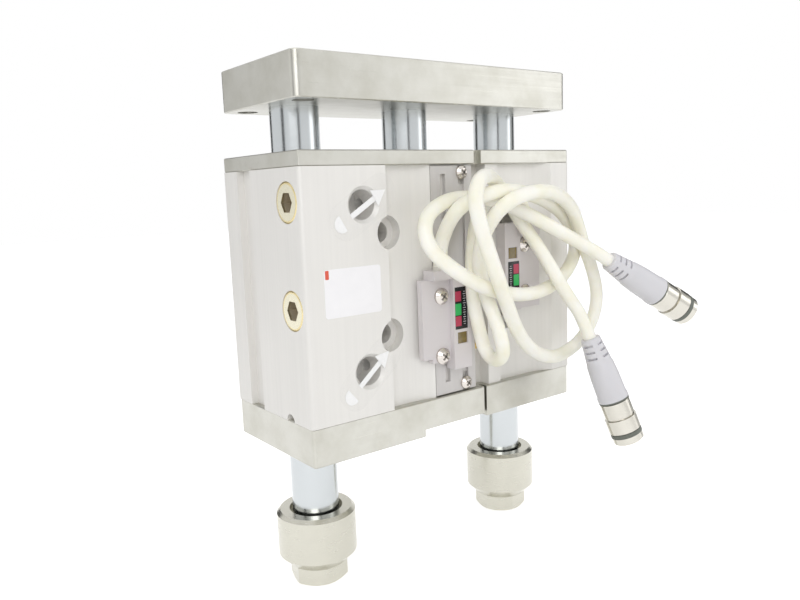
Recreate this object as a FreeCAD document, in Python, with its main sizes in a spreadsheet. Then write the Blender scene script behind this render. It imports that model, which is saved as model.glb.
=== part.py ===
"""Compact guided pneumatic cylinder with stop collars and two corded switches.

Frame: millimetres, +Z up along the rods, X across the wide face, -Y towards the face with the
ports and switches. The origin is the centre of the body's four mounting bolts, on the axis of
the piston rod. The rods stand at their retracted end and travel along +Z.
"""
import FreeCAD, Part
import math
import os

import Sketcher
from FreeCAD import Placement, Rotation, Vector

# ---------------------------------------------------------------- driving dimensions
DIMENSIONS = [
    # alias, millimetres, meaning
    ("body_width", 148, "extruded body along X"),
    ("body_depth", 64, "extruded body along Y"),
    ("body_length", 99, "extruded body along Z"),
    ("body_corner", 2, "radius of the body's upright corners"),
    ("bore_dia", 50, "cylinder bore"),
    ("rod_dia", 20, "piston rod and guide rods"),
    ("guide_pitch", 112, "centre distance of the guide rods"),
    ("bushing_dia", 32, "outside of the ball bushings"),
    ("bushing_length", 40, "each ball bushing"),
    ("bushing_inset", 2, "bushing end below the end of the body"),
    ("stroke", 25, "travel of the rods"),
    ("mount_pitch_wide", 66, "body bolts along X"),
    ("mount_pitch", 42, "body bolts along Z"),
    ("mount_from_top", 26.5, "upper body bolts below the top of the body"),
    ("mount_hole", 8.6, "through hole for a body bolt"),
    ("mount_head", 14, "counterbore for a body bolt"),
    ("mount_head_depth", 9, "depth of that counterbore"),
    ("front_recess", 4, "recess of the front face between its blocks"),
    ("port_block", 39, "width of the block that holds the ports"),
    ("edge_block", 13, "width of the block at the other edge"),
    ("rail_left", 11, "left edge of the rail seat, left of the rod axis"),
    ("rail_width", 23, "switch rail along X"),
    ("rail_thick", 2, "switch rail along Y"),
    ("channel_nut_z", -30.5, "middle of the spare nut in the switch channel"),
    ("rail_groove", 3.4, "groove that guides the rail's screws"),
    ("rail_groove_deep", 0.9, "groove that guides the rail's screws"),
    ("rail_groove_edge", 6, "middle of that groove from the rail's right edge"),
    ("rail_screw_head", 5.8, "head of a rail screw"),
    ("channel_left", 13.5, "left wall of the switch channel"),
    ("channel_width", 7, "switch channel"),
    ("channel_depth", 7.8, "switch channel below the front face"),
    ("lip_width", 7.5, "lip on the right of the channel"),
    ("dish_left", 11, "width of the curved rise beside the rail"),
    ("dish_right", 14, "width of the curved rise beside the edge block"),
    ("side_groove", 11.5, "groove along each narrow face"),
    ("side_groove_depth", 3, "depth of that groove"),
    ("side_flange", 13.5, "wall behind that groove"),
    ("tslot_neck", 11, "mouth of a T-slot"),
    ("tslot_head", 17.8, "widest part of a T-slot"),
    ("tslot_lip", 4, "depth of the mouth"),
    ("tslot_depth", 10, "whole depth of a T-slot"),
    ("port_dia", 11.8, "ported hole"),
    ("port_sink", 14.6, "countersink of a front port"),
    ("port_depth", 14, "depth of a front port"),
    ("port_across", 46, "front ports, left of the rod axis"),
    ("port_drop", 14.9, "upper front port below the top of the body"),
    ("port_rise", 18.2, "lower front port above the foot of the body"),
    ("plug_dia", 15.8, "head of a side plug"),
    ("plug_head", 2, "thickness of that head"),
    ("plug_length", 10, "side plug"),
    ("plug_hex", 7.3, "socket of a side plug across flats"),
    ("plug_offset", 22, "side plugs in front of the rod axis"),
    ("plug_drop", 13, "upper side plug below the top of the body"),
    ("plug_pitch", 41, "distance between the side plugs"),
    ("passage_dia", 5, "air passage"),
    ("end_width", 147, "end plates along X"),
    ("end_depth", 63, "end plates along Y"),
    ("cover_thick", 6, "rod end plate"),
    ("head_thick", 15.6, "head end plate"),
    ("end_screw_x", 38, "end plate screws from the middle along X"),
    ("end_screw_y", 24, "end plate screws from the middle along Y"),
    ("end_screw", 5, "end plate screw"),
    ("end_notch", 4.2, "notch in the front edge of the rod end plate"),
    ("relief_mid", 3.2, "relief under the middle of the head end plate"),
    ("relief_right", 1.7, "relief under its right part"),
    ("relief_left_edge", 18.5, "middle relief starts left of the rod axis"),
    ("seam_x", 16.8, "seam in the front of the head end plate"),
    ("seam_width", 1.5, "width of that seam"),
    ("seam_depth", 4, "depth of that seam"),
    ("rod_gap", 18.5, "rod end plate to tooling plate, retracted"),
    ("plate_width", 146, "tooling plate along X"),
    ("plate_depth", 62, "tooling plate along Y"),
    ("plate_thick", 17, "tooling plate"),
    ("plate_corner", 3, "radius of its upright corners"),
    ("tool_pitch_x", 130, "tapped holes in the tooling plate along X"),
    ("tool_pitch_y", 46, "tapped holes in the tooling plate along Y"),
    ("tool_hole", 8.5, "wall of those M10 holes"),
    ("plate_bolt", 10, "bolt that holds a rod to the tooling plate"),
    ("plate_bolt_head", 16, "head of that bolt"),
    ("plate_bolt_rise", 10, "height of that head"),
    ("collar_gap", 29.7, "head end plate to stop collar, retracted"),
    ("collar_dia", 34, "stop collar"),
    ("collar_length", 24, "stop collar"),
    ("collar_bevel", 4.5, "bevel at the foot of the collar"),
    ("collar_mouth", 1.4, "width of the open ring between rod and collar"),
    ("mouth_depth", 3, "depth of that ring"),
    ("collar_socket", 16, "depth of the rod's seat in the collar"),
    ("stop_hex", 22, "head of the stop bolt across flats"),
    ("stop_hex_height", 8, "head of the stop bolt"),
    ("stop_bolt", 12, "shank of the stop bolt"),
    ("cover_seat", 18, "length of the rod cover"),
    ("cap_thick", 10, "thickness of the head cover"),
    ("ring_thick", 1.8, "retaining ring"),
    ("ring_inset", 1.2, "retaining ring below the end of the body"),
    ("ring_bite", 1, "depth of a retaining ring's groove"),
    ("bumper", 2, "rubber bumper on each face of the piston"),
    ("seal_width", 4, "piston seal"),
    ("seal_depth", 4, "depth of the piston seal's groove"),
    ("magnet_width", 5, "switch magnet"),
    ("oring_dia", 2.4, "cord of the cover O-rings"),
    ("seat_fit", 0.03, "radial clearance of seated pieces"),
    ("run_fit", 0.05, "radial clearance of running metal pieces"),
    ("soft_fit", 0.1, "radial clearance of seals and wipers"),
    ("end_play", 0.3, "clearance at each end of the stroke"),
    ("switch_flange", 15, "mounting flange of a switch along X"),
    ("switch_column", 9.8, "display column of a switch along X"),
    ("switch_height", 33.7, "flange of a switch along Z"),
    ("switch_tail", 5.8, "column below the flange"),
    ("switch_thick", 3, "flange of a switch along Y"),
    ("column_proud", 2.5, "display column in front of the flange"),
    ("switch_left_x", -19.5, "left edge of the left switch"),
    ("switch_top_z", 0.1, "top edge of the left switch"),
    ("switch_turn_x", 16, "the right switch is the left one turned about here"),
    ("switch_turn_z", -9.1, "height of that turning point"),
    ("lead_block", 13.1, "block that the cord leaves, along X"),
    ("lead_height", 3.9, "block that the cord leaves, along Z"),
    ("lead_centre", 10.1, "cord axis from the flange's free edge"),
    ("lead_proud", 3.4, "cord axis in front of the switch's back"),
    ("cord_dia", 6, "switch cord"),
    ("grommet_dia", 6.6, "rubber grommet where a cord leaves"),
    ("grommet_height", 1.5, "height of that grommet"),
    ("connector_shell", 31, "overmoulded shell of a connector"),
    ("connector_dia", 14.2, "widest part of that shell"),
    ("relief_slot", 1.3, "slots that let the shell's neck bend"),
    ("nut_dia", 14.8, "coupling nut"),
    ("nut_length", 20.4, "coupling nut"),
    ("nut_ring", 2, "width of the groove for the nut's seal"),
    ("nut_play", 0.3, "end play of the coupling nut"),
    ("neck_dia", 9.9, "neck that the nut turns on"),
    ("insert_dia", 8.2, "contact insert"),
]

doc = FreeCAD.newDocument("guided_cylinder")
sheet = doc.addObject("Spreadsheet::Sheet", "dims")
for row, (alias, size, meaning) in enumerate(DIMENSIONS, start=1):
    sheet.set("A%d" % row, meaning)
    sheet.set("B%d" % row, str(size))
    sheet.setAlias("B%d" % row, alias)
doc.recompute()

# ---------------------------------------------------------------- levels, as expressions
TOP = "(dims.mount_from_top + dims.mount_pitch / 2)"
FOOT = f"({TOP} - dims.body_length)"
COVER_TOP = f"({TOP} + dims.cover_thick)"
PLATE_UNDER = f"({COVER_TOP} + dims.rod_gap)"
PLATE_TOP = f"({PLATE_UNDER} + dims.plate_thick)"
HEAD_UNDER = f"({FOOT} - dims.head_thick)"
COLLAR_TOP = f"({HEAD_UNDER} - dims.collar_gap)"
COLLAR_FOOT = f"({COLLAR_TOP} - dims.collar_length)"
ROD_END = f"({COLLAR_TOP} - dims.collar_socket)"
FRONT = "(dims.body_depth / 2)"
HALF_X = "(dims.body_width / 2)"
GUIDE_X = "(dims.guide_pitch / 2)"
ROD_R = "(dims.rod_dia / 2)"
BORE_R = "(dims.bore_dia / 2)"
RING_TOP = f"({TOP} - dims.ring_inset)"
COVER_HIGH = f"({RING_TOP} - dims.ring_thick)"
COVER_LOW = f"({COVER_HIGH} - dims.cover_seat)"
RING_FOOT = f"({FOOT} + dims.ring_inset)"
CAP_LOW = f"({RING_FOOT} + dims.ring_thick)"
CAP_HIGH = f"({CAP_LOW} + dims.cap_thick)"
PISTON_LOW = f"({CAP_HIGH} + dims.end_play + dims.bumper)"
PISTON_HIGH = f"({COVER_LOW} - dims.end_play - dims.bumper - dims.stroke)"
RECESS_Y = f"({FRONT} - dims.front_recess)"
RAIL_Y = f"({RECESS_Y} + dims.rail_thick)"


def value(expression):
    """The number, in millimetres, that an expression on the sheet has now."""
    return float(sheet.evalExpression(str(expression)))


# ---------------------------------------------------------------- drawing helpers
def new_body(label):
    body = doc.addObject("PartDesign::Body", label)
    body.Label = label
    return body


def new_sketch(body, plane, name, offset=None):
    """A sketch on one of the body's own origin planes, moved along its normal by offset."""
    sketch = body.newObject("Sketcher::SketchObject", name)
    origin_plane = [f for f in body.Origin.OriginFeatures if f.Role == plane][0]
    sketch.AttachmentSupport = (origin_plane, "")
    sketch.MapMode = "FlatFace"
    if offset is not None:
        sketch.setExpression("AttachmentOffset.Base.z", offset)
    return sketch


def hold_point(sketch, geometry, point, across, up):
    """Dimensions one point of a sketch from the sketch's origin."""
    for axis, kind, expression in ((-2, "DistanceX", across), (-1, "DistanceY", up)):
        if expression == "0":
            sketch.addConstraint(Sketcher.Constraint("PointOnObject", geometry, point, axis))
            continue
        size = value(expression)
        index = sketch.addConstraint(Sketcher.Constraint(kind, -1, 1, geometry, point, size))
        sketch.setExpression("Constraints[%d]" % index, expression)


def tangent_arc(before, here, there):
    """The arc that leaves here in line with before -> here and ends at there."""
    along, chord = (here - before).normalize(), there - here
    left = Vector(-along.y, along.x, 0)
    sideways = chord.dot(left)
    radius = chord.Length ** 2 / (2 * abs(sideways))
    centre = here + left * (radius if sideways > 0 else -radius)
    first, last = (here, there) if sideways > 0 else (there, here)
    angles = [math.atan2(spot.y - centre.y, spot.x - centre.x) for spot in (first, last)]
    return Part.ArcOfCircle(Part.Circle(centre, Vector(0, 0, 1), radius), *angles)


def draw_outline(sketch, corners):
    """A closed outline. A corner is (x, y), or (x, y, "arc") where a curve, tangent to the
    line before it, leads on to the next corner."""
    first, count = sketch.GeometryCount, len(corners)
    spots = [Vector(value(c[0]), value(c[1]), 0) for c in corners]
    for i, corner in enumerate(corners):
        here, there = spots[i], spots[(i + 1) % count]
        curved = len(corner) == 3
        edge = tangent_arc(spots[i - 1], here, there) if curved else Part.LineSegment(here, there)
        sketch.addGeometry(edge)
    for i, corner in enumerate(corners):
        edge, before = first + i, first + (i - 1) % count
        start = end_at(sketch, edge, spots[i])
        joint = "Tangent" if len(corner) == 3 else "Coincident"
        sketch.addConstraint(Sketcher.Constraint(
            joint, before, end_at(sketch, before, spots[i]), edge, start))
        hold_point(sketch, edge, start, corner[0], corner[1])


def end_at(sketch, geometry, spot):
    """1 or 2: the end of a line or arc that lies at a spot."""
    shape = sketch.Geometry[geometry]
    return 1 if shape.StartPoint.distanceToPoint(spot) < shape.EndPoint.distanceToPoint(spot) else 2


def draw_box(sketch, low_x, low_y, high_x, high_y):
    draw_outline(sketch, [(low_x, low_y), (high_x, low_y), (high_x, high_y), (low_x, high_y)])


def draw_circle(sketch, across, up, diameter):
    spot = Vector(value(across), value(up), 0)
    index = sketch.addGeometry(Part.Circle(spot, Vector(0, 0, 1), value(diameter) / 2))
    hold_point(sketch, index, 3, across, up)
    size = sketch.addConstraint(Sketcher.Constraint("Diameter", index, value(diameter)))
    sketch.setExpression("Constraints[%d]" % size, diameter)


def pad(body, sketch, length, name="pad"):
    feature = body.newObject("PartDesign::Pad", name)
    feature.Profile = sketch
    feature.setExpression("Length", length)
    return feature


def pocket(body, sketch, depth=None, name="pocket", towards_normal=False):
    """Cuts against the sketch's normal, through everything where no depth is given."""
    feature = body.newObject("PartDesign::Pocket", name)
    feature.Profile = sketch
    feature.Reversed = towards_normal
    if depth is None:
        feature.Type = "ThroughAll"
    else:
        feature.setExpression("Length", depth)
    return feature


def drill(body, name, diameter, depth, spot, direction, mouth=None):
    """A round cut from a spot on the surface, with a countersink where mouth is given."""
    turn = Rotation(Vector(0, 0, 1), direction)
    sizes = [("PartDesign::SubtractiveCylinder", {"Radius": f"({diameter}) / 2", "Height": depth})]
    if mouth is not None:
        sink = {"Radius1": f"({mouth}) / 2", "Radius2": f"({diameter}) / 2",
                "Height": f"(({mouth}) - ({diameter})) / 2"}
        sizes.append(("PartDesign::SubtractiveCone", sink))
    for kind, fields in sizes:
        feature = body.newObject(kind, name)
        for field, expression in fields.items():
            feature.setExpression(field, expression)
        feature.Placement = Placement(Vector(), turn)
        for axis, expression in zip("xyz", spot):
            feature.setExpression("Placement.Base." + axis, expression)


def round_edges(body, radius, chosen, kind="PartDesign::Fillet", name="rounding"):
    """Rounds or bevels the edges that the test picks out."""
    doc.recompute()
    solid = body.Tip
    names = ["Edge%d" % (i + 1) for i, edge in enumerate(solid.Shape.Edges) if chosen(edge)]
    feature = body.newObject(kind, name)
    feature.Base = (solid, names)
    feature.setExpression("Radius" if kind.endswith("Fillet") else "Size", radius)
    return feature


def upright_at(*corners):
    """Picks the edges along Z that stand at the given places, in any quarter of the plan."""
    def chosen(edge):
        if len(edge.Vertexes) != 2 or abs(edge.tangentAt(edge.FirstParameter).z) < 0.999:
            return False
        x, y = abs(edge.Vertexes[0].X), abs(edge.Vertexes[0].Y)
        return any(abs(x - cx) < 0.01 and abs(y - cy) < 0.01 for cx, cy in corners)
    return chosen


def turned(label, section, x="0", y="0"):
    """A piece turned about an upright axis from a half section of (radius, z) corners."""
    body = new_body(label)
    sketch = new_sketch(body, "XZ_Plane", label + "_section")
    draw_outline(sketch, section)
    feature = body.newObject("PartDesign::Revolution", label + "_turn")
    feature.Profile = sketch
    feature.ReferenceAxis = (sketch, ["V_Axis"])
    feature.Angle = 360
    body.setExpression("Placement.Base.x", x)
    body.setExpression("Placement.Base.y", y)
    return body


def ring(label, inner, outer, low, high, x="0", y="0"):
    return turned(label, [(inner, low), (outer, low), (outer, high), (inner, high)], x, y)


def group(label, members):
    """Several separate solids kept in one node."""
    holder = doc.addObject("Part::Compound", label)
    holder.Label = label
    holder.Links = members
    return holder


def hex_socket(body, plane, offset, across, up, flats, depth, name, towards_normal=False):
    """A hexagonal pocket drawn as six equal sides about its centre."""
    sketch = new_sketch(body, plane, name + "_hexagon", offset)
    corner = f"({flats} / 2 / cos(30))"
    points = []
    for step in range(6):
        angle = 60 * step
        points.append((f"{across} + {corner} * cos({angle})", f"{up} + {corner} * sin({angle})"))
    draw_outline(sketch, points)
    return pocket(body, sketch, depth, name, towards_normal)


# ---------------------------------------------------------------- extruded body
def cylinder_body():
    body = new_body("cylinder_body")
    outline = new_sketch(body, "XY_Plane", "body_outline", FOOT)
    front, recess, rail = f"-{FRONT}", f"-{RECESS_Y}", f"-{RAIL_Y}"
    channel_right = "dims.channel_left + dims.channel_width"
    lip_right = f"{channel_right} + dims.lip_width"
    channel_floor = f"-{FRONT} + dims.channel_depth"
    block_left = f"-{HALF_X} + dims.port_block"
    block_right = f"{HALF_X} - dims.edge_block"
    neck, head = "dims.tslot_neck / 2", "dims.tslot_head / 2"
    mouth, floor = f"{FRONT} - dims.tslot_lip", f"{FRONT} - dims.tslot_depth"
    groove_in = f"({HALF_X} - dims.side_groove_depth)"
    groove_back = f"{FRONT} - dims.side_flange"
    groove_front = f"{FRONT} - dims.side_flange - dims.side_groove"

    def tslot(centre):
        """Corners of one T-slot, from its right side to its left."""
        return [(f"{centre} + {neck}", FRONT), (f"{centre} + {neck}", mouth),
                (f"{centre} + {head}", mouth), (f"{centre} + {head}", floor),
                (f"{centre} - {head}", floor), (f"{centre} - {head}", mouth),
                (f"{centre} - {neck}", mouth), (f"{centre} - {neck}", FRONT)]

    corners = [
        (f"-{HALF_X}", front), (block_left, front), (block_left, recess),
        ("-dims.rail_left - dims.dish_left", recess, "arc"), ("-dims.rail_left", rail),
        ("-dims.rail_left", recess), ("dims.channel_left", recess),
        ("dims.channel_left", channel_floor), (channel_right, channel_floor),
        (channel_right, rail), (lip_right, rail), (lip_right, recess),
        (f"{block_right} - dims.dish_right", recess, "arc"), (block_right, front),
        (HALF_X, front), (HALF_X, groove_front), (groove_in, groove_front),
        (groove_in, groove_back), (HALF_X, groove_back), (HALF_X, FRONT)]
    corners += tslot(GUIDE_X) + tslot(f"-{GUIDE_X}")
    corners += [(f"-{HALF_X}", FRONT), (f"-{HALF_X}", groove_back),
                (f"-{groove_in}", groove_back), (f"-{groove_in}", groove_front),
                (f"-{HALF_X}", groove_front)]
    draw_outline(outline, corners)
    draw_circle(outline, "0", "0", "dims.bore_dia")
    draw_circle(outline, GUIDE_X, "0", "dims.bushing_dia")
    draw_circle(outline, f"-{GUIDE_X}", "0", "dims.bushing_dia")
    pad(body, outline, "dims.body_length", "body_extrusion")
    round_edges(body, "dims.body_corner", upright_at((value(HALF_X), value(FRONT))))

    for name, size, depth in (("bolt_holes", "dims.mount_hole", None),
                              ("bolt_counterbores", "dims.mount_head", "dims.mount_head_depth")):
        holes = new_sketch(body, "XZ_Plane", name, FRONT)
        for side in ("", "-"):
            for level in ("", "-"):
                draw_circle(holes, f"{side}dims.mount_pitch_wide / 2",
                            f"{level}dims.mount_pitch / 2", size)
        pocket(body, holes, depth, name + "_cut")

    inward = Vector(0, 1, 0)
    port_levels = (f"{TOP} - dims.port_drop", f"{FOOT} + dims.port_rise")
    for level in port_levels:
        drill(body, "front_port", "dims.port_dia", "dims.port_depth",
              ("-dims.port_across", front, level), inward, "dims.port_sink")
        drill(body, "air_passage", "dims.passage_dia", f"dims.port_across - {BORE_R} / 2",
              ("-dims.port_across", f"{front} + dims.port_depth - dims.passage_dia / 2", level),
              Vector(1, 0, 0))
    for level in plug_levels():
        spot = (f"-{HALF_X}", "-dims.plug_offset", level)
        drill(body, "plug_head_seat", "dims.plug_dia + 2 * dims.seat_fit", "dims.plug_head",
              spot, Vector(1, 0, 0))
        drill(body, "plug_thread", "dims.port_dia + 2 * dims.seat_fit",
              "dims.plug_length + 2 * dims.seat_fit", spot, Vector(1, 0, 0))
    groove_dia = "dims.bore_dia + 2 * dims.ring_bite"
    for low in (COVER_HIGH, RING_FOOT):
        drill(body, "ring_groove", groove_dia, "dims.ring_thick", ("0", "0", low), Vector(0, 0, 1))
    for side in ("", "-"):
        for face in ("", "-"):
            spot_x, spot_y = f"{side}dims.end_screw_x", f"{face}dims.end_screw_y"
            drill(body, "cover_screw_thread", "dims.end_screw", "7", (spot_x, spot_y, TOP),
                  Vector(0, 0, -1))
            drill(body, "head_screw_thread", "dims.end_screw", "9", (spot_x, spot_y, FOOT),
                  Vector(0, 0, 1))
    drill(body, "drain_notch", "6", "dims.side_groove_depth",
          (f"-{HALF_X}", "-15.5", FOOT), Vector(1, 0, 0))
    return body


def plug_levels():
    return (f"({TOP} - dims.plug_drop)", f"({TOP} - dims.plug_drop - dims.plug_pitch)")


def port_plugs():
    """Two hexagon socket plugs that lie flush in the narrow face."""
    plugs = []
    for name, level in zip(("upper", "lower"), plug_levels()):
        plug = new_body("port_plug_" + name)
        section = new_sketch(plug, "XY_Plane", "plug_section_" + name)
        shank, head = "dims.port_dia / 2", "dims.plug_dia / 2"
        draw_outline(section, [("0", "0"), ("dims.plug_length", "0"),
                               ("dims.plug_length", shank), ("dims.plug_head", shank),
                               ("dims.plug_head", head), ("0.6", head), ("0", f"{head} - 0.6")])
        feature = plug.newObject("PartDesign::Revolution", "plug_turn")
        feature.Profile = section
        feature.ReferenceAxis = (section, ["H_Axis"])
        feature.Angle = 360
        hex_socket(plug, "YZ_Plane", None, "0", "0", "dims.plug_hex", "6", "plug_socket", True)
        plug.setExpression("Placement.Base.x", f"-{HALF_X}")
        plug.setExpression("Placement.Base.y", "-dims.plug_offset")
        plug.setExpression("Placement.Base.z", level)
        plugs.append(plug)
    return group("port_plugs", plugs)


# ---------------------------------------------------------------- end plates
def plate_blank(label, width, depth, low, thick, corner):
    """A flat plate with rounded upright corners and a broken edge all round."""
    body = new_body(label)
    outline = new_sketch(body, "XY_Plane", label + "_outline", low)
    draw_box(outline, f"-{width} / 2", f"-{depth} / 2", f"{width} / 2", f"{depth} / 2")
    pad(body, outline, thick, label + "_blank")
    round_edges(body, corner, upright_at((value(width) / 2, value(depth) / 2)))
    round_edges(body, "0.4", lambda edge: edge.BoundBox.ZLength < 0.01, "PartDesign::Chamfer",
                "edge_break")
    return body


def rod_end_plate():
    body = plate_blank("rod_end_plate", "dims.end_width", "dims.end_depth", TOP,
                       "dims.cover_thick", "0.6")
    holes = new_sketch(body, "XY_Plane", "rod_holes", COVER_TOP)
    seats = new_sketch(body, "XY_Plane", "wiper_seats", TOP)
    for x in ("0", GUIDE_X, f"-{GUIDE_X}"):
        draw_circle(holes, x, "0", "dims.rod_dia + 1")
        draw_circle(seats, x, "0", "dims.rod_dia + 8")
    pocket(body, holes, None, "rod_holes_cut")
    pocket(body, seats, "dims.cover_thick - 2", "wiper_seats_cut", True)
    notch = new_sketch(body, "XY_Plane", "front_notch", COVER_TOP)
    notch_left = "dims.seam_x - dims.end_notch"
    draw_box(notch, notch_left, "-dims.end_depth / 2 - 1", "dims.seam_x",
             "-dims.end_depth / 2 + 3")
    pocket(body, notch, None, "front_notch_cut")
    for side in ("", "-"):
        for face in ("", "-"):
            drill(body, "cover_screw_hole", "dims.end_screw + 0.5", "dims.cover_thick",
                  (f"{side}dims.end_screw_x", f"{face}dims.end_screw_y", COVER_TOP),
                  Vector(0, 0, -1), "2 * dims.end_screw")
    return body


def head_end_plate():
    body = plate_blank("head_end_plate", "dims.end_width", "dims.end_depth", HEAD_UNDER,
                       "dims.head_thick", "1.5")
    holes = new_sketch(body, "XY_Plane", "rod_clearance", FOOT)
    seats = new_sketch(body, "XY_Plane", "wiper_seats", FOOT)
    for x in (GUIDE_X, f"-{GUIDE_X}"):
        draw_circle(holes, x, "0", "dims.rod_dia + 1")
        draw_circle(seats, x, "0", "dims.rod_dia + 8")
    pocket(body, holes, None, "rod_clearance_cut")
    pocket(body, seats, "dims.cover_thick - 2", "wiper_seats_cut")
    wide = "dims.end_depth / 2 + 1"
    for name, left, right, depth in (
            ("middle_relief", "-dims.relief_left_edge", "dims.seam_x", "dims.relief_mid"),
            ("right_relief", "dims.seam_x", "dims.end_width / 2 + 1", "dims.relief_right")):
        relief = new_sketch(body, "XY_Plane", name, HEAD_UNDER)
        draw_box(relief, left, f"-({wide})", right, wide)
        pocket(body, relief, depth, name + "_cut", True)
    seam = new_sketch(body, "XY_Plane", "front_seam", FOOT)
    draw_box(seam, "dims.seam_x - dims.seam_width / 2", f"-({wide})",
             "dims.seam_x + dims.seam_width / 2", "-dims.end_depth / 2 + dims.seam_depth")
    pocket(body, seam, None, "front_seam_cut")
    for side in ("", "-"):
        for face in ("", "-"):
            x, y = f"{side}dims.end_screw_x", f"{face}dims.end_screw_y"
            drill(body, "head_screw_hole", "dims.end_screw + 0.5", "dims.head_thick",
                  (x, y, HEAD_UNDER), Vector(0, 0, 1))
            drill(body, "head_screw_seat", "2 * dims.end_screw", "dims.head_thick - 6",
                  (x, y, HEAD_UNDER), Vector(0, 0, 1))
    return body


def end_screws():
    """Countersunk screws in the rod end plate, socket screws under the head end plate."""
    radius = "(dims.end_screw / 2 - dims.seat_fit)"
    flush = f"({COVER_TOP} - 0.3)"
    head = "(dims.end_screw - 0.6)"
    cone_foot = f"({flush} - ({head} - {radius}))"
    seat = f"({FOOT} - 6)"
    upper, lower = [], []
    for i, (side, face) in enumerate((a, b) for a in ("", "-") for b in ("", "-")):
        x, y = f"{side}dims.end_screw_x", f"{face}dims.end_screw_y"
        upper.append(turned("cover_screw_%d" % i, [
            ("0", f"{TOP} - 6"), (radius, f"{TOP} - 6"), (radius, cone_foot),
            (head, flush), ("0", flush)], x, y))
        lower.append(turned("head_screw_%d" % i, [
            ("0", f"{seat} - dims.end_screw"), ("dims.end_screw * 0.85", f"{seat} - dims.end_screw"),
            ("dims.end_screw * 0.85", seat), (radius, seat), (radius, f"{FOOT} + 8"),
            ("0", f"{FOOT} + 8")], x, y))
    return [group("rod_end_plate_screws", upper), group("head_end_plate_screws", lower)]


def wipers():
    """Rubber wipers that close each rod hole of the end plates."""
    inner, outer = f"{ROD_R} + dims.soft_fit", f"{ROD_R} + 4 - dims.seat_fit"
    rings = []
    for i, x in enumerate((GUIDE_X, f"-{GUIDE_X}")):
        rings.append(ring("cover_wiper_%d" % i, inner, outer, TOP, f"{COVER_TOP} - 2", x))
        rings.append(ring("head_wiper_%d" % i, inner, outer,
                          f"{FOOT} - dims.cover_thick + 2", FOOT, x))
    scraper = ring("rod_scraper", inner, outer, TOP, f"{COVER_TOP} - 2")
    return [group("guide_rod_wipers", rings), scraper]


# ---------------------------------------------------------------- inside of the bore
def rod_cover_parts():
    """Rod cover with its bush, seal, O-ring and retaining ring."""
    outer = f"{BORE_R} - dims.seat_fit"
    bush_r = f"{ROD_R} + 1.5"
    seal_r = f"{ROD_R} + 3.5"
    seal_low = f"{COVER_HIGH} - 5"
    groove = f"{outer} - dims.oring_dia + 0.3"
    o_low, o_high = f"{COVER_LOW} + 3", f"{COVER_LOW} + 3 + dims.oring_dia"
    air_low, air_high = f"{COVER_LOW} + 7", f"{COVER_LOW} + 12"
    cover = turned("rod_cover", [
        (bush_r, COVER_LOW), (outer, COVER_LOW), (outer, o_low), (groove, o_low),
        (groove, o_high), (outer, o_high), (outer, air_low), (f"{outer} - 2", air_low),
        (f"{outer} - 2", air_high), (outer, air_high), (outer, COVER_HIGH),
        (seal_r, COVER_HIGH), (seal_r, seal_low), (bush_r, seal_low)])
    bush = ring("rod_bush", f"{ROD_R} + dims.run_fit", f"{bush_r} - dims.seat_fit",
                COVER_LOW, seal_low)
    seal = turned("rod_seal", [
        (f"{ROD_R} + dims.soft_fit", seal_low), (f"{seal_r} - dims.seat_fit", seal_low),
        (f"{seal_r} - dims.seat_fit", f"{COVER_HIGH} - 0.4"),
        (f"{ROD_R} + 1.4", f"{COVER_HIGH} - 0.4"), (f"{ROD_R} + 1.2", f"{COVER_HIGH} - 2"),
        (f"{ROD_R} + dims.soft_fit", f"{COVER_HIGH} - 1.4")])
    return [cover, bush, seal, o_ring("rod_cover_oring", groove, o_low),
            retaining_ring("rod_retaining_ring", COVER_HIGH)]


def o_ring(label, groove, low):
    """A round cord squeezed to the groove's floor."""
    torus = doc.addObject("Part::Torus", label)
    torus.Label = label
    squeezed = "(dims.oring_dia / 2 - 0.15 - dims.seat_fit)"
    torus.setExpression("Radius1", f"{groove} + {squeezed} + dims.seat_fit")
    torus.setExpression("Radius2", squeezed)
    torus.setExpression("Placement.Base.z", f"{low} + dims.oring_dia / 2")
    return torus


def retaining_ring(label, low):
    """An internal circlip with its gap towards the front."""
    blank = doc.addObject("Part::Cylinder", label + "_blank")
    blank.setExpression("Radius", f"{BORE_R} + dims.ring_bite - dims.soft_fit")
    hollow = doc.addObject("Part::Cylinder", label + "_hollow")
    hollow.setExpression("Radius", f"{BORE_R} - 3")
    gap = doc.addObject("Part::Box", label + "_gap")
    gap.Length, gap.Width = 12, 30
    gap.Placement.Base = Vector(-6, -30, 0)
    for tool in (blank, hollow, gap):
        tool.setExpression("Height", "dims.ring_thick - 2 * dims.seat_fit")
    without_middle = doc.addObject("Part::Cut", label + "_annulus")
    without_middle.Base, without_middle.Tool = blank, hollow
    clip = doc.addObject("Part::Cut", label)
    clip.Label = label
    clip.Base, clip.Tool = without_middle, gap
    clip.setExpression("Placement.Base.z", f"{low} + dims.seat_fit")
    return clip


def head_cover_parts():
    outer = f"{BORE_R} - dims.seat_fit"
    groove = f"{outer} - dims.oring_dia + 0.3"
    o_low = f"{CAP_LOW} + 4"
    o_high = f"{o_low} + dims.oring_dia"
    cover = turned("head_cover", [
        ("0", CAP_LOW), (outer, CAP_LOW), (outer, o_low), (groove, o_low), (groove, o_high),
        (outer, o_high), (outer, CAP_HIGH), ("14", CAP_HIGH), ("14", f"{CAP_HIGH} - 4"),
        ("0", f"{CAP_HIGH} - 4")])
    return [cover, o_ring("head_cover_oring", groove, o_low),
            retaining_ring("head_retaining_ring", RING_FOOT)]


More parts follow.
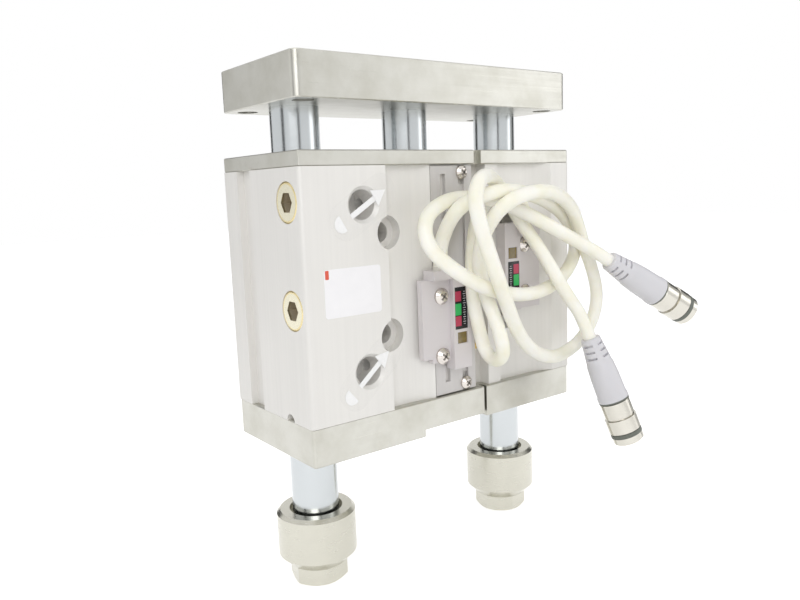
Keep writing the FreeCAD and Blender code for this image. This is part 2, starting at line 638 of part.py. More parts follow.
def piston_parts():
    """Piston with its seals, wear ring, magnet and bumpers, on the end of the rod."""
    outer = f"{BORE_R} - dims.soft_fit"
    middle = f"(({PISTON_LOW} + {PISTON_HIGH}) / 2)"
    magnet = f"({outer} - 3)"
    seal_floor = f"({BORE_R} - dims.seal_depth)"
    wear_floor = f"({BORE_R} - 2)"
    pitch_bore = "(dims.rod_dia / 2 - 3)"
    lower, upper = f"({PISTON_LOW} + 3)", f"({PISTON_HIGH} - 3 - dims.seal_width)"
    wear = f"({middle} + dims.magnet_width / 2 + 2)"
    magnet_low = f"({middle} - dims.magnet_width / 2)"
    nut_seat = f"({PISTON_LOW} + 8)"

    def cut(floor, low, width):
        return [(outer, low), (floor, low), (floor, f"{low} + {width}"), (outer, f"{low} + {width}")]

    section = [("9.5", PISTON_LOW), (outer, PISTON_LOW)]
    section += cut(seal_floor, lower, "dims.seal_width") + cut(magnet, magnet_low, "dims.magnet_width")
    section += cut(wear_floor, wear, "5") + cut(seal_floor, upper, "dims.seal_width")
    section += [(outer, PISTON_HIGH), (f"{pitch_bore} + dims.seat_fit", PISTON_HIGH),
                (f"{pitch_bore} + dims.seat_fit", nut_seat), ("9.5", nut_seat)]
    piston = turned("piston", section)
    seals = []
    for i, low in enumerate((lower, upper)):
        seals.append(turned("piston_seal_%d" % i, [
            (f"{seal_floor} + dims.seat_fit", f"{low} + 0.2"),
            (f"{BORE_R} - dims.seat_fit", f"{low} + 0.2"),
            (f"{BORE_R} - 1", f"{low} + dims.seal_width / 2"),
            (f"{BORE_R} - dims.seat_fit", f"{low} + dims.seal_width - 0.2"),
            (f"{seal_floor} + dims.seat_fit", f"{low} + dims.seal_width - 0.2")]))
    pieces = [piston, group("piston_seals", seals)]
    pieces.append(ring("piston_wear_ring", f"{wear_floor} + dims.seat_fit",
                       f"{BORE_R} - dims.run_fit", f"{wear} + 0.1", f"{wear} + 4.9"))
    pieces.append(ring("piston_magnet", f"{magnet} + dims.seat_fit", f"{outer} - 0.3",
                       f"{magnet_low} + 0.05", f"{magnet_low} + dims.magnet_width - 0.05"))
    bumpers = [ring("head_bumper", "14", f"{BORE_R} - 3", f"{PISTON_LOW} - dims.bumper",
                    PISTON_LOW),
               ring("rod_bumper", f"{ROD_R} + 4", f"{BORE_R} - 3", PISTON_HIGH,
                    f"{PISTON_HIGH} + dims.bumper")]
    pieces.append(group("piston_bumpers", bumpers))
    pieces.append(turned("piston_rod", [
        ("0", f"{PISTON_LOW} + 1"), (pitch_bore, f"{PISTON_LOW} + 1"),
        (pitch_bore, PISTON_HIGH), (ROD_R, PISTON_HIGH), (ROD_R, PLATE_UNDER),
        ("dims.plate_bolt / 2", PLATE_UNDER), ("dims.plate_bolt / 2", f"{PLATE_UNDER} - 22"),
        ("0", f"{PLATE_UNDER} - 22")]))
    pieces.append(ring("piston_nut", f"{pitch_bore} + dims.seat_fit", "9.2",
                       f"{nut_seat} - 6", nut_seat))
    return pieces


# ---------------------------------------------------------------- guides
def guide_rods():
    rods = []
    drilled = "dims.stop_bolt / 2"
    for name, x in (("guide_rod_left", f"-{GUIDE_X}"), ("guide_rod_right", GUIDE_X)):
        rods.append(turned(name, [
            (drilled, ROD_END), (f"{ROD_R} - 0.8", ROD_END), (ROD_R, f"{ROD_END} + 0.8"),
            (ROD_R, PLATE_UNDER), ("dims.plate_bolt / 2", PLATE_UNDER),
            ("dims.plate_bolt / 2", f"{PLATE_UNDER} - 22"), ("0", f"{PLATE_UNDER} - 22"),
            ("0", f"{ROD_END} + 24"), (drilled, f"{ROD_END} + 24")], x))
    return rods


def ball_bushings():
    """Four linear bushings: a steel shell each, and a slotted ball cage inside it."""
    shell_r = "(dims.bushing_dia / 2 - 3)"
    upper = f"({TOP} - dims.bushing_inset - dims.bushing_length)"
    lower = f"({FOOT} + dims.bushing_inset)"
    shells, cages = [], []
    for side, x in (("left", f"-{GUIDE_X}"), ("right", GUIDE_X)):
        for end, low in (("upper", upper), ("lower", lower)):
            high = f"{low} + dims.bushing_length"
            shells.append(turned(f"bushing_{side}_{end}", [
                (f"{shell_r} - 1.5", low), ("dims.bushing_dia / 2 - dims.seat_fit", low),
                ("dims.bushing_dia / 2 - dims.seat_fit", high), (f"{shell_r} - 1.5", high),
                (f"{shell_r} - 1.5", f"{high} - 1.5"), (shell_r, f"{high} - 1.5"),
                (shell_r, f"{low} + 1.5"), (f"{shell_r} - 1.5", f"{low} + 1.5")], x))
            cage = new_body(f"ball_cage_{side}_{end}")
            floor = new_sketch(cage, "XY_Plane", "cage_section", f"{low} + 1.6")
            draw_circle(floor, "0", "0", f"2 * ({shell_r} - dims.seat_fit)")
            draw_circle(floor, "0", "0", "dims.rod_dia + 2 * dims.run_fit")
            pad(cage, floor, "dims.bushing_length - 3.2", "cage_sleeve")
            slots = new_sketch(cage, "XZ_Plane", "ball_slots", "0")
            draw_box(slots, "-1.6", f"{low} + 6", "1.6", f"{high} - 6")
            slot = pocket(cage, slots, None, "ball_slot")
            slot.Midplane = True
            around = cage.newObject("PartDesign::PolarPattern", "ball_slot_pattern")
            around.Originals = [slot]
            around.Axis = (floor, ["N_Axis"])
            around.Angle = 180
            around.Occurrences = 2
            cage.Tip = around
            cage.setExpression("Placement.Base.x", x)
            cages.append(cage)
    return shells + [group("bushing_ball_cages", cages)]


# ---------------------------------------------------------------- tooling plate and stops
def tooling_plate():
    body = plate_blank("tooling_plate", "dims.plate_width", "dims.plate_depth", PLATE_UNDER,
                       "dims.plate_thick", "dims.plate_corner")
    holes = new_sketch(body, "XY_Plane", "tapped_holes", PLATE_TOP)
    for side in ("", "-"):
        for face in ("", "-"):
            draw_circle(holes, f"{side}dims.tool_pitch_x / 2", f"{face}dims.tool_pitch_y / 2",
                        "dims.tool_hole")
    pocket(body, holes, None, "tapped_holes_cut")
    for x in ("0", GUIDE_X, f"-{GUIDE_X}"):
        drill(body, "bolt_hole", "dims.plate_bolt + 0.5", "dims.plate_thick",
              (x, "0", PLATE_TOP), Vector(0, 0, -1))
        drill(body, "bolt_head_seat", "dims.plate_bolt_head + 1.5", "dims.plate_bolt_rise + 0.8",
              (x, "0", PLATE_TOP), Vector(0, 0, -1))
    return body


def plate_bolts():
    """Socket head bolts that hold the three rods to the tooling plate."""
    seat = f"({PLATE_TOP} - dims.plate_bolt_rise - 0.8)"
    shank = "(dims.plate_bolt / 2 - dims.seat_fit)"
    bolts = []
    for i, x in enumerate(("0", GUIDE_X, f"-{GUIDE_X}")):
        head = "dims.plate_bolt_head / 2"
        high = f"{seat} + dims.plate_bolt_rise"
        bolt = turned("plate_bolt_%d" % i, [
            ("0", f"{PLATE_UNDER} - 20"), (shank, f"{PLATE_UNDER} - 20"), (shank, seat),
            (head, seat), (head, f"{high} - 0.6"), (f"{head} - 0.6", high), ("0", high)], x)
        hex_socket(bolt, "XY_Plane", high, "0", "0", "8", "5", "socket")
        bolts.append(bolt)
    return group("plate_bolts", bolts)


def stop_parts():
    """Stop collars on the free ends of the guide rods, and the bolts that hold them."""
    collars, bolts = [], []
    outer = "(dims.collar_dia / 2)"
    seat_r = f"({ROD_R} + dims.seat_fit)"
    bolt_r = "(dims.stop_bolt / 2 - dims.seat_fit)"
    head_low = f"({COLLAR_FOOT} - dims.stop_hex_height)"
    for name, x in (("left", f"-{GUIDE_X}"), ("right", GUIDE_X)):
        collars.append(turned("stop_collar_" + name, [
            ("dims.stop_bolt / 2 + 0.5", COLLAR_FOOT), (f"{outer} - dims.collar_bevel", COLLAR_FOOT),
            (outer, f"{COLLAR_FOOT} + dims.collar_bevel"), (outer, f"{COLLAR_TOP} - 1.5"),
            (f"{outer} - 1.5", COLLAR_TOP), (f"{seat_r} + dims.collar_mouth", COLLAR_TOP),
            (f"{seat_r} + dims.collar_mouth", f"{COLLAR_TOP} - dims.mouth_depth"),
            (seat_r, f"{COLLAR_TOP} - dims.mouth_depth"), (seat_r, ROD_END),
            ("dims.stop_bolt / 2 + 0.5", ROD_END)], x))
        bolt = new_body("stop_bolt_" + name)
        hexagon = new_sketch(bolt, "XY_Plane", "hexagon_" + name, head_low)
        corner = "(dims.stop_hex / 2 / cos(30))"
        draw_outline(hexagon, [(f"{corner} * cos({60 * i + 15})", f"{corner} * sin({60 * i + 15})")
                               for i in range(6)])
        pad(bolt, hexagon, "dims.stop_hex_height", "hexagon_head")
        bevel = new_sketch(bolt, "XZ_Plane", "head_bevel_" + name)
        draw_outline(bevel, [("dims.stop_hex / 2 - 0.4", head_low), (f"{corner} + 1", head_low),
                             (f"{corner} + 1", f"{head_low} + 1.8")])
        groove = bolt.newObject("PartDesign::Groove", "head_bevel_cut")
        groove.Profile = bevel
        groove.ReferenceAxis = (bevel, ["V_Axis"])
        groove.Angle = 360
        shank = new_sketch(bolt, "XY_Plane", "shank_" + name, COLLAR_FOOT)
        draw_circle(shank, "0", "0", f"2 * {bolt_r}")
        pad(bolt, shank, f"{ROD_END} - {COLLAR_FOOT} + 20", "shank_pad")
        bolt.setExpression("Placement.Base.x", x)
        bolts.append(bolt)
    return collars + [group("stop_bolts", bolts)]


# ---------------------------------------------------------------- switches and their rails
def switch_rails():
    """The slotted rail under the left switch and the short seat under the right one."""
    rail = new_body("switch_rail")
    left, right = "(-dims.rail_left + 0.3)", "(-dims.rail_left + 0.3 + dims.rail_width)"
    low, high = f"({FOOT} + 0.5)", f"({TOP} - 0.5)"
    blank = new_sketch(rail, "XZ_Plane", "rail_blank", RECESS_Y)
    fork = f"({right} - dims.rail_groove_edge)"
    half_fork = "(dims.rail_groove / 2)"
    draw_outline(blank, [
        (left, low), (f"{fork} - {half_fork}", low), (f"{fork} - {half_fork}", f"{low} + 8"),
        (f"{fork} + {half_fork}", f"{low} + 8"), (f"{fork} + {half_fork}", low), (right, low),
        (right, high), (f"{fork} + {half_fork}", high), (f"{fork} + {half_fork}", f"{high} - 8"),
        (f"{fork} - {half_fork}", f"{high} - 8"), (f"{fork} - {half_fork}", high), (left, high)])
    pad(rail, blank, "dims.rail_thick", "rail_strip")
    slot = new_sketch(rail, "XZ_Plane", "rail_slot", RAIL_Y)
    for end_low, end_high in ((f"{low} + 5.2", f"{low} + 18"), (f"{high} - 22", f"{high} - 3.4")):
        draw_box(slot, f"{left} + 5.4", end_low, f"{left} + 8.2", end_high)
    pocket(rail, slot, "dims.rail_thick", "rail_slot_cut")
    groove = new_sketch(rail, "XZ_Plane", "rail_groove", RAIL_Y)
    draw_box(groove, f"{fork} - {half_fork}", low, f"{fork} + {half_fork}", high)
    pocket(rail, groove, "dims.rail_groove_deep", "rail_groove_cut")
    seat = new_body("switch_seat_right")
    pad_sketch = new_sketch(seat, "XZ_Plane", "seat_outline", RECESS_Y)
    mirror_left = "(2 * dims.switch_turn_x - dims.switch_left_x - dims.switch_flange)"
    draw_box(pad_sketch, f"{mirror_left} + 0.4", f"{switch_low('right')} + 2",
             f"{mirror_left} + dims.switch_flange - 5", f"{switch_low('right')} + 30")
    pad(seat, pad_sketch, "dims.rail_thick", "seat_strip")
    return [rail, seat]


def switch_low(side):
    """Lower edge of a switch's flange."""
    if side == "left":
        return "(dims.switch_top_z - dims.switch_height)"
    return "(2 * dims.switch_turn_z - dims.switch_top_z)"


def rail_screws():
    """Pan head screws that clamp the rail at its forked ends."""
    x = "(-dims.rail_left + 0.3 + dims.rail_width - dims.rail_groove_edge)"
    edge = "(dims.rail_screw_head / 2)"
    screws = []
    for i, z in enumerate((f"({FOOT} + 3.6)", f"({TOP} - 3.4)")):
        screw = new_body("rail_screw_%d" % i)
        section = new_sketch(screw, "XY_Plane", "screw_section_%d" % i)
        draw_outline(section, [("0", "0"), (edge, "0"), (edge, "-0.9"), (f"{edge} - 1.2", "-2"),
                               ("0", "-2.3")])
        feature = screw.newObject("PartDesign::Revolution", "screw_turn")
        feature.Profile = section
        feature.ReferenceAxis = (section, ["V_Axis"])
        feature.Angle = 360
        screw.setExpression("Placement.Base.x", x)
        screw.setExpression("Placement.Base.y", f"-{RAIL_Y}")
        screw.setExpression("Placement.Base.z", z)
        screws.append(screw)
    return group("rail_screws", screws)


def channel_pieces():
    """A spare slot nut and its brass screw, left in the switch channel."""
    middle = "(dims.channel_left + dims.channel_width / 2)"
    floor = f"({FRONT} - dims.channel_depth)"
    nut = doc.addObject("Part::Box", "channel_nut")
    nut.Label = "channel_nut"
    nut.setExpression("Length", "dims.channel_width - 0.4")
    nut.setExpression("Width", "3.4")
    nut.setExpression("Height", "8")
    nut.setExpression("Placement.Base.x", "dims.channel_left + 0.2")
    nut.setExpression("Placement.Base.y", f"-{floor} - 3.4")
    nut.setExpression("Placement.Base.z", "dims.channel_nut_z - 4")
    screw = new_body("channel_screw")
    section = new_sketch(screw, "XY_Plane", "channel_screw_section")
    draw_outline(section, [("0", "0"), ("3", "0"), ("3", "-2.2"), ("2.4", "-3"), ("0", "-3")])
    feature = screw.newObject("PartDesign::Revolution", "channel_screw_turn")
    feature.Profile = section
    feature.ReferenceAxis = (section, ["V_Axis"])
    feature.Angle = 360
    slot = new_sketch(screw, "XZ_Plane", "screwdriver_slot", "3")
    draw_box(slot, "-4", "-0.5", "4", "0.5")
    pocket(screw, slot, "1.2", "screwdriver_slot_cut")
    screw.setExpression("Placement.Base.x", middle)
    screw.setExpression("Placement.Base.y", f"-{floor} - 3.4")
    screw.setExpression("Placement.Base.z", "dims.channel_nut_z")
    return [nut, screw]


def switch_parts(side):
    """One switch: housing, display, sensing lens, mounting screws and cord grommet.

    Drawn upright at the left switch's place; the right switch is the same drawing turned half
    round in the plane of the face, with its cord leaving at the other end."""
    left, high = "dims.switch_left_x", "dims.switch_top_z"
    low = f"({high} - dims.switch_height)"
    fold = f"({left} + dims.switch_flange)"
    right = f"({fold} + dims.switch_column)"
    tail = f"({low} - dims.switch_tail)"
    lead_x = f"({left} + dims.lead_centre)"
    at_top = side == "left"
    lead_edge = high if at_top else low
    lead_out = f"({high} + dims.lead_height)" if at_top else f"({low} - dims.lead_height)"
    prefix = "switch_%s_" % side

    housing = new_body(prefix + "housing")
    outline = new_sketch(housing, "XZ_Plane", "flange_outline", RAIL_Y)
    draw_outline(outline, [(left, high), (left, low), (f"{left} + 5", low),
                           (f"{left} + 5", f"{low} - 2"), (fold, f"{low} - 2"), (fold, tail),
                           (right, tail), (right, high)])
    pad(housing, outline, "dims.switch_thick", "flange_pad")
    column = new_sketch(housing, "XZ_Plane", "column_outline", f"{RAIL_Y} + dims.switch_thick")
    draw_box(column, fold, tail, right, high)
    pad(housing, column, "dims.column_proud", "column_pad")
    block = new_sketch(housing, "XZ_Plane", "lead_block", RAIL_Y)
    block_low, block_high = (lead_edge, lead_out) if at_top else (lead_out, lead_edge)
    draw_box(block, f"{lead_x} - dims.lead_block / 2", block_low,
             f"{lead_x} + dims.lead_block / 2", block_high)
    pad(housing, block, "2 * dims.lead_proud", "lead_block_pad")

    face = f"({RAIL_Y} + dims.switch_thick + dims.column_proud)"
    display_box = (f"{fold} + 0.8", f"{high} - 22.3", f"{fold} + 8", f"{high} - 4.1")
    lens_box = (f"{fold} + 2", f"{high} - 28.6", f"{fold} + 7.7", f"{high} - 23.6")
    windows = []
    for name, box, sink in (("display", display_box, "0.8"), ("lens", lens_box, "1.2")):
        recess = new_sketch(housing, "XZ_Plane", name + "_recess", face)
        draw_box(recess, *box)
        pocket(housing, recess, sink, name + "_recess_cut")
        pane = new_body(prefix + name)
        pane_outline = new_sketch(pane, "XZ_Plane", name + "_outline", f"{face} - {sink}")
        fit = "dims.seat_fit"
        draw_box(pane_outline, f"{box[0]} + {fit}", f"{box[1]} + {fit}", f"{box[2]} - {fit}",
                 f"{box[3]} - {fit}")
        pad(pane, pane_outline, "0.6", name + "_pane")
        windows.append(pane)

    screws = []
    lower_screw = f"({low} + 0.7)" if at_top else f"({low} + 4.5)"
    for i, level in enumerate((f"({high} - 7.3)", lower_screw)):
        screw = new_body(prefix + "screw_%d" % i)
        section = new_sketch(screw, "XY_Plane", "screw_section")
        draw_outline(section, [("0", "0"), ("3.5", "0"), ("3.5", "-1"), ("2.2", "-2.2"),
                               ("0", "-2.5")])
        feature = screw.newObject("PartDesign::Revolution", "screw_turn")
        feature.Profile = section
        feature.ReferenceAxis = (section, ["V_Axis"])
        feature.Angle = 360
        screw.setExpression("Placement.Base.x", f"{left} + dims.lead_centre")
        screw.setExpression("Placement.Base.y", f"-{RAIL_Y} - dims.switch_thick")
        screw.setExpression("Placement.Base.z", level)
        screws.append(screw)

    grommet = doc.addObject("Part::Cylinder", prefix + "grommet")
    grommet.Label = prefix + "grommet"
    grommet.setExpression("Radius", "dims.grommet_dia / 2")
    grommet.setExpression("Height", "dims.grommet_height")
    grommet.setExpression("Placement.Base.x", lead_x)
    grommet.setExpression("Placement.Base.y", f"-{RAIL_Y} - dims.lead_proud")
    grommet.setExpression("Placement.Base.z",
                          lead_out if at_top else f"{lead_out} - dims.grommet_height")
    pieces = [housing] + windows + [group(prefix + "screws", screws), grommet]
    if side == "right":
        for piece in pieces:
            doc.recompute()
            half_round(piece)
    return pieces


def half_round(piece):
    """Turns a piece half round about the axis, along Y, that the two switches share."""
    centre = Vector(value("dims.switch_turn_x"), 0, value("dims.switch_turn_z"))
    turn = Placement(Vector(), Rotation(Vector(0, 1, 0), 180), centre)
    if piece.TypeId == "Part::Compound":
        piece.Placement = turn
        return
    base = piece.Placement
    for axis in "xyz":
        piece.setExpression("Placement.Base." + axis, None)
    piece.Placement = turn.multiply(base)


# ---------------------------------------------------------------- cords and connectors
def lead_exit(side):
    """Where the cord leaves its grommet. Both cords leave upwards."""
    x = value("dims.switch_left_x + dims.lead_centre")
    y = -value(f"{RAIL_Y} + dims.lead_proud")
    if side == "left":
        return Vector(x, y, value("dims.switch_top_z + dims.lead_height + dims.grommet_height"))
    low = value("dims.switch_top_z - dims.switch_height - dims.lead_height - dims.grommet_height")
    return Vector(2 * value("dims.switch_turn_x") - x, y, 2 * value("dims.switch_turn_z") - low)


# Bends of each cord after its exit: along X, out from the front face, and up.
CORD_ROUTES = {
    "left": [
        (-9.4, 1.4, 10.0), (-10.2, 3.5, 16.2), (-11.2, 9, 23.3), (-12.0, 15.5, 29.0),
        (-9.5, 20.5, 32.8), (-2.2, 22, 34.8), (7.3, 22, 35.9), (18.7, 20.5, 35.2),
        (30.6, 18.5, 32.9), (42.8, 15.5, 29.5), (54.9, 12, 24.5), (65.3, 8.5, 17.9),
        (70.6, 6.8, 10.5), (69.5, 6.8, 2.9), (61.0, 9, -3.7), (47.1, 12, -8.6), (30.6, 15, -9.8),
        (13.4, 18.5, -7.5), (-3.4, 22.8, -2.9), (-14.2, 22.3, 2.6), (-21.4, 19.5, 8.2),
        (-26.4, 15.5, 14.6), (-26.9, 12.5, 21.9), (-22.9, 11, 28.3), (-14.4, 10, 32.3),
        (-4.8, 9.5, 33.7), (4.8, 10, 33.1), (12.0, 12, 32.0), (17.7, 14.5, 29.7),
        (25.9, 17, 25.9), (38.4, 19.3, 19.7), (52.1, 20.6, 13.2), (63.1, 22, 7.9),
        (72.0, 25, 2.0)],
    "right": [
        (41.4, 1.4, 25.3), (38.9, 2.2, 29.5), (32.8, 2.9, 32.6), (24.6, 3, 33.6),
        (15.6, 3.5, 31.5), (9.7, 4.5, 25.8), (5.8, 6, 17.6), (3.0, 7.4, 8.2), (2.6, 7.6, -1.1),
        (3.0, 7.8, -10.9), (4.6, 8, -18.4), (7.0, 7.4, -25.1), (9.2, 7.4, -32.5),
        (8.7, 14.2, -36.4), (7.4, 21, -32.5), (5.8, 21.1, -24.4), (5.4, 18, -16.6),
        (4.6, 14.4, -8.8), (1.2, 14.3, 1.7), (0.1, 14.8, 9.7), (1.0, 16.5, 17.8),
        (2.3, 20.5, 24.7), (3.9, 25.2, 29.8), (8.8, 28.2, 33.2), (18.3, 28, 35.0),
        (29.7, 26.5, 34.9), (42.6, 23, 32.0), (54.0, 19, 25.9), (62.1, 15.5, 18.2),
        (68.9, 13.2, 8.5), (75.9, 12.3, -2.6), (80.6, 11.6, -13.8), (80.1, 11.4, -22.5),
        (76.9, 11, -29.5), (70.9, 11, -35.5), (62.2, 11.5, -39.4), (49.8, 13, -41.5),
        (36.2, 15.5, -38.1), (23.4, 19, -31.2), (13.7, 22, -21.9), (4.8, 26.2, -11.0),
        (-2.9, 29.6, -0.4), (-8.0, 29.8, 10.7), (-12.2, 29.8, 21.0), (-14.3, 29.8, 27.5),
        (-15.5, 29.7, 34.1), (-12.2, 28.2, 39.7), (-5.4, 24.6, 42.0), (3.0, 18.8, 41.7),
        (9.6, 14.3, 40.2), (14.9, 11.6, 38.1), (19.4, 10, 35.5), (24.9, 8.7, 30.3),
        (30.3, 9.3, 22.2), (36.9, 12.5, 12.2), (40.3, 18.6, 0.7), (50.0, 20, -13.2),
        (58.0, 20.1, -21.5), (61.0, 23, -32.8)],
}


def cord_bends(side):
    """The points at which a cord bends, in the part's frame."""
    front = value(FRONT)
    return [Vector(x, -front - out, z) for x, out, z in CORD_ROUTES[side]]


def connector_frame(side):
    """The free end of a cord, and the direction in which its connector points."""
    before, end = cord_bends(side)[-2:]
    return end, (end - before).normalize()


def cord(side):
    """A cord of its real length: straight runs joined by tangent arcs."""
    points = [lead_exit(side)] + cord_bends(side)
    edges, radii, start = [], [], points[0]
    for before, here, after in zip(points, points[1:], points[2:]):
        run_in, run_out = here - before, after - here
        turn = run_in.getAngle(run_out)
        back = 0.45 * min(run_in.Length, run_out.Length)
        radius = back / math.tan(turn / 2)
        radii.append(radius)
        into = here - run_in.normalize() * back
        out = here + run_out.normalize() * back
        bisector = ((into - here).normalize() + (out - here).normalize()).normalize()
        middle = here + bisector * (radius / math.cos(turn / 2) - radius)
        edges.append(Part.LineSegment(start, into).toShape())
        edges.append(Part.Arc(into, middle, out).toShape())
        start = out
    edges.append(Part.LineSegment(start, points[-1]).toShape())
    path = Part.Wire(edges)
    radius = value("dims.cord_dia / 2")
    profile = Part.Wire(Part.makeCircle(radius, points[0], points[1] - points[0]))
    tube = path.makePipeShell([profile], True, False)
    expected = math.pi * radius ** 2 * path.Length
    print("cord_%s: length %.1f, tightest radius %.1f, volume / expected %.4f" % (
        side, path.Length, min(radii), tube.Volume / expected))
    print("   radii", " ".join("%.0f" % r for r in radii))
    feature = doc.addObject("Part::Feature", "cord_" + side)
    feature.Label = "cord_" + side
    feature.Shape = tube
    return feature


def connector_parts(side):
    """Overmoulded shell with a ribbed relief, coupling nut and contact insert."""
    end, direction = connector_frame(side)
    seat = Placement(end, Rotation(Vector(0, 0, 1), direction))
    prefix = "connector_%s_" % side
    shell_r = "(dims.connector_dia / 2)"
    length = "dims.connector_shell"
    neck = "(dims.neck_dia / 2)"
    web = f"({length} + dims.nut_play + 4.2)"
    shell = turned(prefix + "shell", [
        ("0", "0"), ("4.2", "0"), ("4.5", "0.4"), ("5.9", "12.5"), (f"{shell_r} - 0.5", f"{length} * 0.62"),
        (f"{shell_r} - 0.3", f"{length} - 3"), (shell_r, f"{length} - 2.2"), (shell_r, length),
        (neck, length), (neck, f"{web} + dims.nut_play"), (f"{neck} + 0.9", f"{web} + dims.nut_play"),
        (f"{neck} + 0.9", f"{web} + dims.nut_play + 1.6"), ("0", f"{web} + dims.nut_play + 1.6")])
    relief = new_sketch(shell, "XZ_Plane", prefix + "relief")
    for low in (2.4, 5.4, 8.4):
        draw_box(relief, f"3.8 + 0.12 * {low}", str(low), "6.4", f"{low} + dims.relief_slot")
    slots = shell.newObject("PartDesign::Groove", "relief_slots")
    slots.Profile = relief
    slots.ReferenceAxis = (relief, ["V_Axis"])
    slots.Midplane = True
    slots.Angle = 66
    around = shell.newObject("PartDesign::PolarPattern", "relief_round")
    around.Originals = [slots]
    around.Axis = (relief, ["V_Axis"])
    around.Angle = 360
    around.Occurrences = 4
    nut_r = "(dims.nut_dia / 2)"
    low = f"({length} + dims.nut_play)"
    high = f"({low} + dims.nut_length)"
    band = f"({low} + 0.4 * dims.nut_length)"
    ring = f"({low} + 0.74 * dims.nut_length)"
    nut = turned(prefix + "nut", [
        (f"{neck} + dims.run_fit", low), (f"{nut_r} - 0.8", low), (f"{nut_r} - 0.5", f"{low} + 0.3"),
        (f"{nut_r} - 0.5", f"{band} - 1"), (f"{nut_r} - 0.9", f"{band} - 0.8"),
        (f"{nut_r} - 0.9", f"{band} - 0.2"), (nut_r, band), (nut_r, f"{ring} - 0.4"),
        (f"{nut_r} - 0.7", ring), (f"{nut_r} - 0.7", f"{ring} + dims.nut_ring"),
        (f"{nut_r} - 0.3", f"{ring} + dims.nut_ring"), (f"{nut_r} - 0.3", f"{high} - 0.6"),
        (f"{nut_r} - 0.8", high), ("6.15", high), ("6.15", web),
        (f"{neck} + dims.run_fit", web)])
    insert = turned(prefix + "insert", [
        ("0", f"{web} + dims.nut_play + 1.6"), ("dims.insert_dia / 2", f"{web} + dims.nut_play + 1.6"),
        ("dims.insert_dia / 2", f"{high} - 2.4"), ("dims.insert_dia / 2 - 0.4", f"{high} - 2"),
        ("0", f"{high} - 2")])
    for piece in (shell, nut, insert):
        piece.setExpression("Placement.Base.x", None)
        piece.setExpression("Placement.Base.y", None)
        piece.Placement = seat
    return [shell, nut, insert]


# ---------------------------------------------------------------- assembly and export
pieces = [cylinder_body(), port_plugs(), rod_end_plate(), head_end_plate()]
pieces += end_screws() + wipers()
pieces += rod_cover_parts() + head_cover_parts() + piston_parts()
pieces += guide_rods() + ball_bushings()
pieces += [tooling_plate(), plate_bolts()] + stop_parts()
pieces += switch_rails() + [rail_screws()] + channel_pieces()
for hand in ("left", "right"):
    pieces += switch_parts(hand)
for hand in ("left", "right"):
    pieces += [cord(hand)] + connector_parts(hand)
doc.recompute()

for item in doc.Objects:
    if "Invalid" in item.State or "Error" in item.State:
        raise RuntimeError("%s (%s) failed: %s" % (item.Name, item.Label, item.State))
for piece in pieces:
    if piece.Shape.isNull() or not piece.Shape.isValid() or not piece.Shape.Solids:
        raise RuntimeError("%s has no valid solid" % piece.Label)

os.makedirs("parts", exist_ok=True)
for piece in pieces:
    piece.Shape.exportStep("parts/%s.step" % piece.Label)
print(len(pieces), "nodes")
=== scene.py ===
"""Guided pneumatic cylinder with two switch leads: finishes, leads, marks and studio."""

import math

import bmesh
import bpy
from bpy.props import FloatProperty, FloatVectorProperty, PointerProperty
from mathutils import Matrix, Vector


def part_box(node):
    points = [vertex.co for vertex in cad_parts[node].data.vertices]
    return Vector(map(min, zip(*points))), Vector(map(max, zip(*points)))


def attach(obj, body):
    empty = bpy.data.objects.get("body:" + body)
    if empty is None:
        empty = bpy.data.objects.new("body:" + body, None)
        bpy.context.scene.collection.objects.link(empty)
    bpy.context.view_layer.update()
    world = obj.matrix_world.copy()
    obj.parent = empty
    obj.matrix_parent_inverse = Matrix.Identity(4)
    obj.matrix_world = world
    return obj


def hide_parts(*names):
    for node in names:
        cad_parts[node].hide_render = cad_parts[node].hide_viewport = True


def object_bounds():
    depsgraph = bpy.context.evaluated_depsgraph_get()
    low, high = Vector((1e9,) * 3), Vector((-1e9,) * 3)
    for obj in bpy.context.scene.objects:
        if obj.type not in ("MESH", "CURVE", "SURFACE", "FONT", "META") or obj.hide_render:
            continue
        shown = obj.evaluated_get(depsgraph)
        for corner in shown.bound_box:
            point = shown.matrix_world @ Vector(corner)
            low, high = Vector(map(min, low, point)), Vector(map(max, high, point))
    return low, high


bl_info = {
    "name": "Guided Cylinder Finishes",
    "version": (1, 0, 0),
    "blender": (4, 5, 0),
    "location": "View3D > Sidebar > Guided Cylinder",
    "description": "Finishes, switch leads, marks and studio for a guided pneumatic cylinder",
    "category": "Object",
}

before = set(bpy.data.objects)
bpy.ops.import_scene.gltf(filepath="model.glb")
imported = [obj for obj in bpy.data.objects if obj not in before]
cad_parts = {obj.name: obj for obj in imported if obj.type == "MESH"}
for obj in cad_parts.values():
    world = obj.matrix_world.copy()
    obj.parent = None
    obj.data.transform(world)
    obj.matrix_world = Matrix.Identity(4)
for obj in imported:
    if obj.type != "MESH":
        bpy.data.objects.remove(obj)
CAD_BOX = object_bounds()
MM = 0.001

